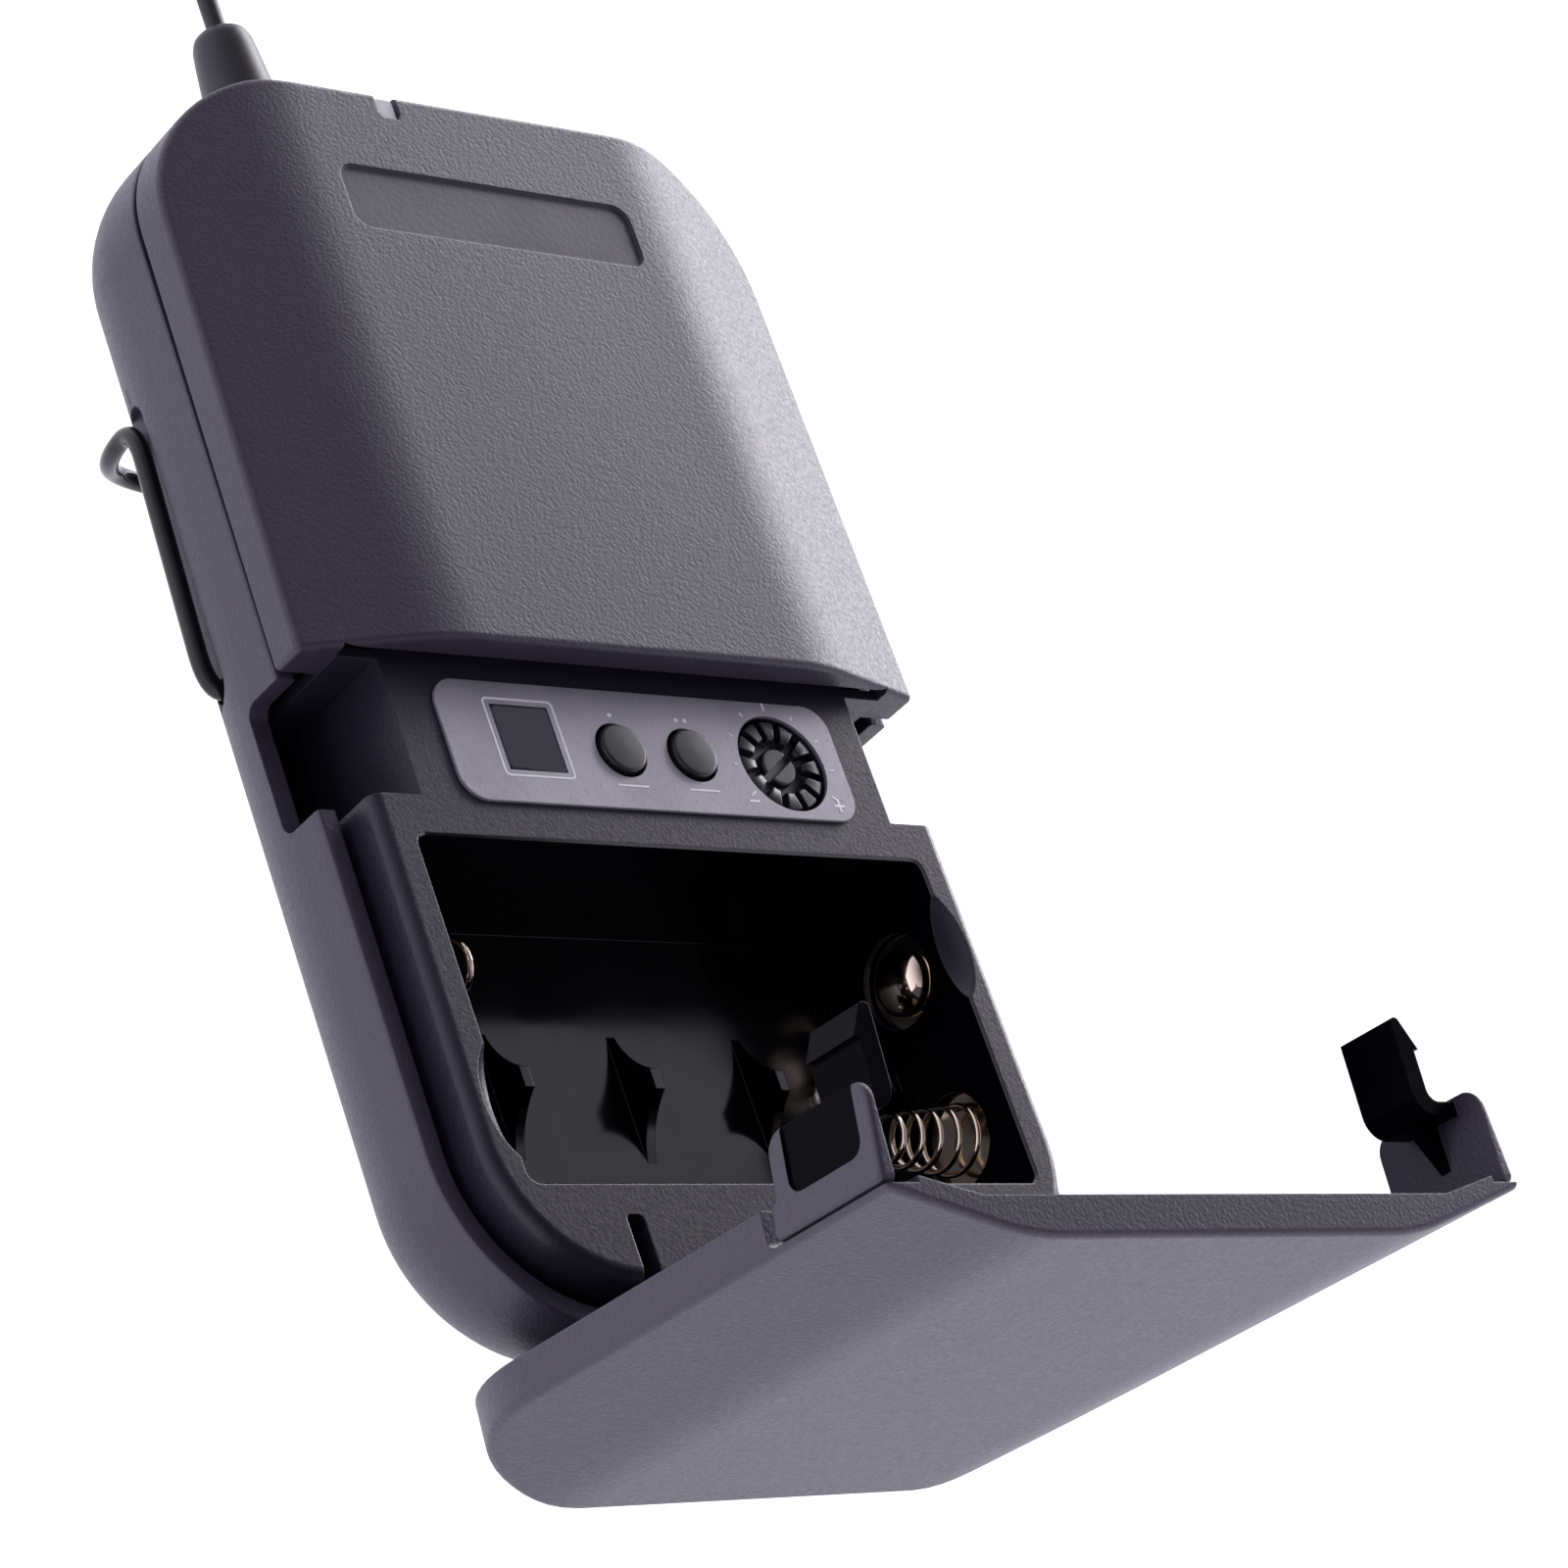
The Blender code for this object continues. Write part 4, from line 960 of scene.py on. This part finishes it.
def make_latch(side, name):
    """A finger pad that tapers downwards, with a smooth inset, on a web that ends in a hook."""
    pad = latch_pad(side, name + "_piece")
    # The faces that the hook, the gusset and the inset leave take painted shade: an almost black finish
    # with almost no reflection.
    pad.data.materials.append(LOOKS["dark_gloss"])
    hook_outline = [
        (31.0, 9.5),
        *arc((29.1, 8.5), 1.0, 90, 180, 8),
        (28.1, 5.3),
        (28.6, 5.3),
        (27.3, 2.8),
        (26.9, 2.7),
        (26.4, 2.9),
        *arc((28.3, 8.7), 1.9, 180, 90, 10),
        (31.0, 10.6),
    ]
    hook = side_prism(name + "_hook", side, hook_outline, -7.3, -2.0)
    gusset = side_prism(name + "_gusset", side, [(28.2, 10.4), (31.0, 10.4), (31.0, 14.6)], -5.2, -4.2)
    top_corners = [*arc((-2.2, 13.1), 1.2, 0, 90, 8), *arc((-7.5, 13.1), 1.2, 90, 180, 8)]
    inset = [(-8.7, 8.0), (-1.0, 8.0), *top_corners]
    inset_rings = [[(side * (latch_outer_x(z) + out), y, z) for y, z in inset] for out in (-0.22, 1.0)]
    join(pad, marked(hook), marked(gusset))
    cut(pad, marked(loft(name + "_inset", inset_rings)))
    stand_in(open_door(settle(pad, 40.0)), name, name)


# ---------------- wire and contacts

def rounded_path(corners, radius, steps=5):
    """A path with its corners rounded by quadratic curves that start and end this far from each corner."""
    path = [Vector(corners[0])]
    for before, corner, after in zip(corners, corners[1:], corners[2:]):
        before, corner, after = Vector(before), Vector(corner), Vector(after)
        start = corner + (before - corner).normalized() * min(radius, (before - corner).length * 0.49)
        end = corner + (after - corner).normalized() * min(radius, (after - corner).length * 0.49)
        for k in range(steps + 1):
            t = k / steps
            path.append((1 - t) ** 2 * start + 2 * t * (1 - t) * corner + t * t * end)
    path.append(Vector(corners[-1]))
    return path


def wire(name, points, radius, look, sides=16):
    """A round wire with domed ends along points in millimetres."""
    points = [Vector(p) for p in points]
    across = (points[1] - points[0]).orthogonal().normalized()
    rings = []
    for k, point in enumerate(points):
        along = (points[min(k + 1, len(points) - 1)] - points[max(k - 1, 0)]).normalized()
        across = (across - along * across.dot(along)).normalized()
        other = along.cross(across)
        sizes = [(0.0, 1.0)]
        if k == 0:
            sizes = [(-0.55, 0.45), (-0.35, 0.8), (0.0, 1.0)]
        elif k == len(points) - 1:
            sizes = [(0.0, 1.0), (0.35, 0.8), (0.55, 0.45)]
        for shift, size in sizes:
            ring = []
            for i in range(sides):
                angle = 2 * math.pi * i / sides
                offset = across * math.cos(angle) + other * math.sin(angle)
                ring.append(tuple(point + along * shift * radius + offset * radius * size))
            rings.append(ring)
    obj = loft(name, rings, look)
    obj.data.shade_smooth()
    return obj


def make_belt_clip():
    pivot_y, pivot_z = CLIP_PIVOT
    z = CLIP_LOOP_Z
    half = [
        (27.9, pivot_y, pivot_z),
        (31.0, pivot_y, pivot_z),
        (31.0, CLIP_TOP_Y, 5.9),
        (30.4, CLIP_TOP_Y, 0.6),
        (26.6, CLIP_TOP_Y + 1.6, -3.4),
        (15.5, CLIP_TOP_Y, -3.6),
        (14.0, 20.0, z),
        (14.0, -30.0, z),
    ]
    corners = [(-x, y, h) for x, y, h in half] + [(x, y, h) for x, y, h in reversed(half)]
    clip = wire("clip_wire", rounded_path(corners, 3.4, 10), WIRE_RADIUS, LOOKS["blackened_steel"])
    stand_in(clip, "belt_clip", "belt_clip")


def make_spring(name, node, side, y, turns):
    """A conical coil that stands out from a contact plate towards the middle of the bay."""
    per_turn = 40
    wire_radius = 0.25
    count = int(turns * per_turn)
    points = []
    for k in range(count + 1):
        t = k / count
        angle = 2 * math.pi * turns * t
        radius = SPRING_WIDE_RADIUS + (SPRING_NARROW_RADIUS - SPRING_WIDE_RADIUS) * t
        x = side * (SPRING_BASE_X - SPRING_PITCH * turns * t)
        points.append((x, y + radius * math.cos(angle), CELL_Z + radius * math.sin(angle)))
    spring = wire(name, points, wire_radius, LOOKS["contact_plate"], 10)
    stand_in(spring, node, "pack")


def make_plate(name, node, side, y_range, dome_y):
    """A contact plate with a pressed dome where a cell's button meets it."""
    x0, x1 = span(side, CONTACT_X - 0.1, CONTACT_X + 0.1)
    outline = round_box_outline((y_range[0], CELL_Z - 5.2), (y_range[1], CELL_Z + 3.85), 0.6)
    contact = prism(name, outline, x0, x1, "x", LOOKS["contact_plate"])
    quarter_turn = [math.pi / 2 * k / 12 for k in range(12)]
    dome = [(0.05 + 2.9 * math.cos(a), 26.7 - 1.7 * math.sin(a)) for a in quarter_turn]
    profile = [(radius, side * x) for radius, x in [(3.0, CONTACT_X), (3.0, 26.8), *dome, (0.05, 25.0)]]
    join(contact, turned(name + "_dome", profile, (dome_y, CELL_Z), "x"))
    stand_in(settle(contact), node, "pack")


# ---------------- controls

def make_label():
    low, high = corners_of(LABEL_CENTRE, LABEL_HALF)
    levels = [(0.0, FRAME_Z + 0.05), (0.0, LABEL_TOP_Z - 0.06), (0.06, LABEL_TOP_Z)]
    label = plate("label_film", low, high, 2.4, levels, 12, LOOKS["label_print"])
    cut(label, *control_holes("label", 0.1))
    stand_in(settle(label), "control_label", "pack")


def bar(name, x, y, wide, high):
    """A printed bar on the label."""
    (x0, y0), (x1, y1) = corners_of((x, y), (wide / 2, high / 2))
    return box(name, (x0, y0, MARK_Z[0]), (x1, y1, MARK_Z[1]))


def scale_tick(k):
    """A tick of the scale round the knob. Each fourth one is longer."""
    start, half_wide = KNOB_RADIUS + 0.8, 0.09
    end = start + (0.75 if k % 4 == 0 else 0.45)
    tick = box("scale_tick", (start, -half_wide, MARK_Z[0]), (end, half_wide, MARK_Z[1]))
    turn = Matrix.Rotation(math.radians(-35 + 250 / 8 * k), 4, "Z")
    tick.data.transform(Matrix.Translation(Vector((*KNOB_CENTRE, 0)) * MM) @ turn)
    return tick


def window_frame():
    """A printed line round the window."""
    (cx, cy), (hx, hy) = WINDOW_CENTRE, WINDOW_HALF
    outer = corners_of((cx, cy), (hx + 0.75, hy + 0.7))
    inner = corners_of((cx, cy), (hx + 0.55, hy + 0.5))
    line = prism("window_frame", round_box_outline(*outer, 0.5), *MARK_Z)
    cut(line, prism("window_frame_hole", round_box_outline(*inner, 0.35), 15.0, 20.0))
    return line


def make_label_marks():
    """Plain printed marks: minus, plus and a scale at the knob, dots and lines at the buttons, a frame."""
    long_side, thickness = 1.1, 0.24
    marks = bar("label_marks", 9.6, -10.0, long_side, thickness)
    marks.data.materials.append(LOOKS["print_white"])
    join(
        marks,
        bar("plus_bar", 18.8, -10.0, long_side, thickness),
        bar("plus_post", 18.8, -10.0, thickness, long_side),
        *[scale_tick(k) for k in range(9)],
    )
    for k, x in enumerate(BUTTON_X):
        for step in range(k + 1):
            dot = (x + 0.9 * (step - k / 2), -2.75)
            join(marks, rod("button_dot", dot, 0.22, *MARK_Z, sides=20))
        join(marks, bar("button_line", x, -9.3, 3.2, 0.2))
    join(marks, window_frame())
    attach(settle(marks), "pack")


def make_window():
    low, high = corners_of(WINDOW_CENTRE, WINDOW_HALF)
    levels = ((0.0, 16.6), (0.0, FRAME_Z + 0.3), (0.1, FRAME_Z + 0.4))
    window = plate("window_pane", low, high, 0.3, levels, 6, LOOKS["smoked_window"], sharpen=0.0)
    stand_in(settle(window), "display_window", "pack")


def make_button(name, x):
    """A round cap with a collar below the panel, a rounded edge and a slight dish."""
    rim = [(2.8, 13.7), (2.8, 14.8), (BUTTON_RADIUS, 14.8), (BUTTON_RADIUS, 17.6)]
    angles = [math.pi / 2 * k / 6 for k in range(1, 7)]
    top = [(1.9 + 0.3 * math.cos(a), 17.6 + 0.27 * math.sin(a)) for a in angles]
    dish = [(1.1, 17.9), (0.5, 17.93), (0.05, 17.94)]
    button = turned(name + "_cap", [*rim, *top, *dish], (x, BUTTON_Y), look=LOOKS["button_plastic"])
    stand_in(settle(button), name + "_button", name + "_button")


def make_gain_knob():
    """A recessed thumb disc with a castellated rim and a driver slot, turned with a fingertip."""
    teeth = 12
    slot_angle = 35
    outer = [(KNOB_RADIUS, 16.85), (KNOB_RADIUS - 0.08, 17.03), (KNOB_RADIUS - 0.25, 17.1)]
    profile = [(KNOB_RADIUS, 13.6), *outer, (2.75, 17.1), (2.6, 17.02), (2.5, 16.85), (2.5, 16.2)]
    knob = turned("knob_disc", profile, KNOB_CENTRE, sides=96, look=LOOKS["button_plastic"])
    cutters = [rod("knob_bore", KNOB_CENTRE, 1.5, 13, 15.4)]
    shift = Matrix.Translation(Vector((*KNOB_CENTRE, 0.0)) * MM)
    gap_outline = round_box_outline((-0.38, 16.2), (0.38, 18.0), 0.18, 4)
    for k in range(teeth):
        tooth_gap = prism("tooth_gap", gap_outline, 2.2, 5.2, "x")
        tooth_gap.data.transform(shift @ Matrix.Rotation(math.radians(360 / teeth * k + 15), 4, "Z"))
        cutters.append(tooth_gap)
    cut(knob, *cutters)
    join(knob, turned("knob_hub", [(1.7, 15.8), (1.7, 16.75), (1.6, 16.87), (1.45, 16.9)], KNOB_CENTRE))
    slot = box("knob_slot", (-2.0, -0.35, 16.3), (2.0, 0.35, 18.0))
    slot.data.transform(shift @ Matrix.Rotation(math.radians(slot_angle), 4, "Z"))
    cut(knob, slot)
    stand_in(settle(knob), "gain_knob", "gain_knob")


# ---------------- antenna end

def make_antenna():
    rubber = LOOKS["antenna_rubber"]
    foot = [(4.0, 51.2), (4.0, 52.5), (3.0, 52.6), (3.0, 55.3), (3.45, 55.34), (3.6, 55.5)]
    side = [(3.6, 56.1), (3.5, 56.6), (3.1, 60.5), (2.75, 64.6)]
    end = [(2.6, 65.9), (2.35, 66.6), (1.95, 66.95), (1.06, BOOT_TOP_Y)]
    boot = turned("boot_sleeve", [*foot, *side, *end], ANTENNA_XZ, "y", 64, rubber)
    cut(boot, rod("boot_bore", ANTENNA_XZ, WHIP_RADIUS + 0.2, 50, 70, "y"))
    stand_in(settle(boot), "antenna_boot", "pack")
    tip_length = 0.9
    dome_y = WHIP_TIP_Y - tip_length
    rings = [(WHIP_RADIUS, y) for y in (48.5, 80.0, 120.0, dome_y)]
    angles = [math.pi / 2 * k / 7 for k in range(1, 7)]
    dome = [(WHIP_RADIUS * math.cos(a), dome_y + tip_length * math.sin(a)) for a in angles]
    whip = turned("whip_rod", [*rings, *dome, (0.03, WHIP_TIP_Y)], ANTENNA_XZ, "y", 32, rubber)
    stand_in(settle(whip), "antenna_whip", "pack")


def make_connector():
    nickel = LOOKS["nickel_plate"]
    foot = [(4.8, 45.4), (5.0, 45.6), (5.0, 49.1)]
    flange = [(6.1, 49.2), (6.2, 49.3), (6.2, 50.4), (6.1, 50.5), (5.0, 50.6)]
    mouth = [(5.0, 58.1), (4.9, 58.32), (4.7, 58.4)]
    shell = turned("connector_barrel", [*foot, *flange, *mouth], CONNECTOR_XZ, "y", 64, nickel)
    bore = [(4.1, 45.0), (4.1, 58.0), (4.25, 58.3), (4.5, 58.5), (4.5, 60.0)]
    cut(shell, turned("connector_socket", bore, CONNECTOR_XZ, "y", 64))
    stand_in(settle(shell), "mic_connector_shell", "pack")
    ring = [(6.05, 55.3), (6.3, 55.5), (6.3, 57.05), (6.2, 57.2), (6.0, 57.3)]
    nut = turned("connector_ring", ring, CONNECTOR_XZ, "y", 96, nickel)
    cut(nut, rod("nut_bore", CONNECTOR_XZ, 5.25, 54, 59, "y", 64))
    stand_in(settle(nut), "mic_connector_nut", "pack")


def make_power_slider():
    """A ribbed slide switch cap on the end face."""
    x, z = SWITCH_X, SWITCH_Z
    outline = round_box_outline((x - 3.1, z - 1.3), (x + 0.7, z + 1.3), 0.35, 6)
    slider = prism("slider_cap", outline, 52.1, 56.0, "y", LOOKS["button_plastic"])
    join(slider, box("slider_foot", (x - 2.2, 50.6, z - 0.6), (x - 0.2, 52.6, z + 0.6)))
    groove_x = [x - 2.4 + k * 0.8 for k in range(4)]
    cut(slider, *[rod("slider_groove", (gx, 56.15), 0.33, z - 2, z + 2, sides=24) for gx in groove_x])
    stand_in(settle(slider), "power_slider", "power_slider")


def make_led_lens():
    """A lens in the top edge's notch, on the end of a light pipe."""
    x = LED_X
    outer_corners = [*arc((x + 0.55, 54.4), 0.3, 0, 90, 5), *arc((x - 0.55, 54.4), 0.3, 90, 180, 5)]
    head = [(x - 0.85, 52.8), (x + 0.85, 52.8), *outer_corners]
    lens = prism("lens_block", head, 14.4, 20.7, "z", LOOKS["clear_lens"])
    join(lens, box("light_pipe", (x - 0.6, 43.8, 14.6), (x + 0.6, 53.2, 15.8)))
    stand_in(settle(lens), "led_lens", "pack")


# ---------------- stage

def make_camera():
    camera = bpy.data.cameras.new("camera")
    camera.lens = CAMERA_LENS
    camera.sensor_width = 36.0
    camera.clip_start = 0.01
    camera.clip_end = 20.0
    obj = bpy.data.objects.new("camera", camera)
    obj.location = Vector(CAMERA_PLACE) * MM
    obj.rotation_euler = [math.radians(a) for a in CAMERA_TURN]
    bpy.context.scene.collection.objects.link(obj)
    bpy.context.scene.camera = obj


def make_floor():
    """White paper just under the part, lit from within so that it stays white."""
    size = 3000.0
    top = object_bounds()[0].z / MM - 0.05
    floor = box("floor", (-size, -size, top - 5.0), (size, size, top))
    made, _, shader = new_material("floor_paper", (0.3, 0.3, 0.31), 0.9)
    shader.inputs["Emission Color"].default_value = (1.0, 1.0, 1.1, 1.0)
    shader.inputs["Emission Strength"].default_value = 1.15
    floor.data.materials.append(made)


def add_panel_light(name, place, target, size, power):
    """A rectangular light. Its place and size are in metres."""
    light = bpy.data.lights.new(name, "AREA")
    light.shape = "RECTANGLE"
    light.size, light.size_y = size
    light.energy = power
    light.color = (1.0, 0.985, 1.02)
    obj = bpy.data.objects.new(name, light)
    obj.location = place
    obj.rotation_euler = (Vector(target) - Vector(place)).to_track_quat("-Z", "Y").to_euler()
    bpy.context.scene.collection.objects.link(obj)


def make_world():
    """A studio that is white round the horizon and dark overhead."""
    world = bpy.data.worlds.new("studio")
    world.use_nodes = True
    tree = world.node_tree
    background = tree.nodes["Background"]
    source = tree.nodes.new("ShaderNodeTexCoord")
    split = tree.nodes.new("ShaderNodeSeparateXYZ")
    tree.links.new(source.outputs["Generated"], split.inputs["Vector"])
    horizon, overhead = 1.35, 0.13
    level = ramp(tree, split.outputs["Z"], 0.1, 0.95, horizon, overhead)
    tree.links.new(level, background.inputs["Strength"])
    background.inputs["Color"].default_value = (1.0, 0.96, 1.13, 1.0)
    bpy.context.scene.world = world


# ---------------- everything

dress_cad_nodes()
make_camera()
make_floor()
make_world()
add_panel_light("right_panel", (0.58, 0.38, 0.17), (0, 0, 0), (0.64, 0.32), 5.4)
bpy.context.scene.view_settings.view_transform = "Standard"
make_rear_shell()
make_front_cover()
make_chassis()
make_door()
make_latch(-1, "left_latch")
make_latch(1, "right_latch")
make_belt_clip()
make_spring("lower_spring", "lower_cell_spring", 1, CELL_Y[0], 4.5)
make_spring("upper_spring", "upper_cell_spring", -1, CELL_Y[1], 3.75)
series_y = (CELL_Y[0] - PLATE_HALF, CELL_Y[1] + PLATE_HALF)
positive_y = (CELL_Y[0] - PLATE_HALF, CELL_Y[0] + PLATE_HALF)
make_plate("series_plate", "series_contact_plate", 1, series_y, CELL_Y[1])
make_plate("positive_plate", "positive_terminal_plate", -1, positive_y, CELL_Y[0])
make_label()
make_label_marks()
make_window()
make_button("group", BUTTON_X[0])
make_button("channel", BUTTON_X[1])
make_gain_knob()
make_antenna()
make_connector()
make_power_slider()
make_led_lens()
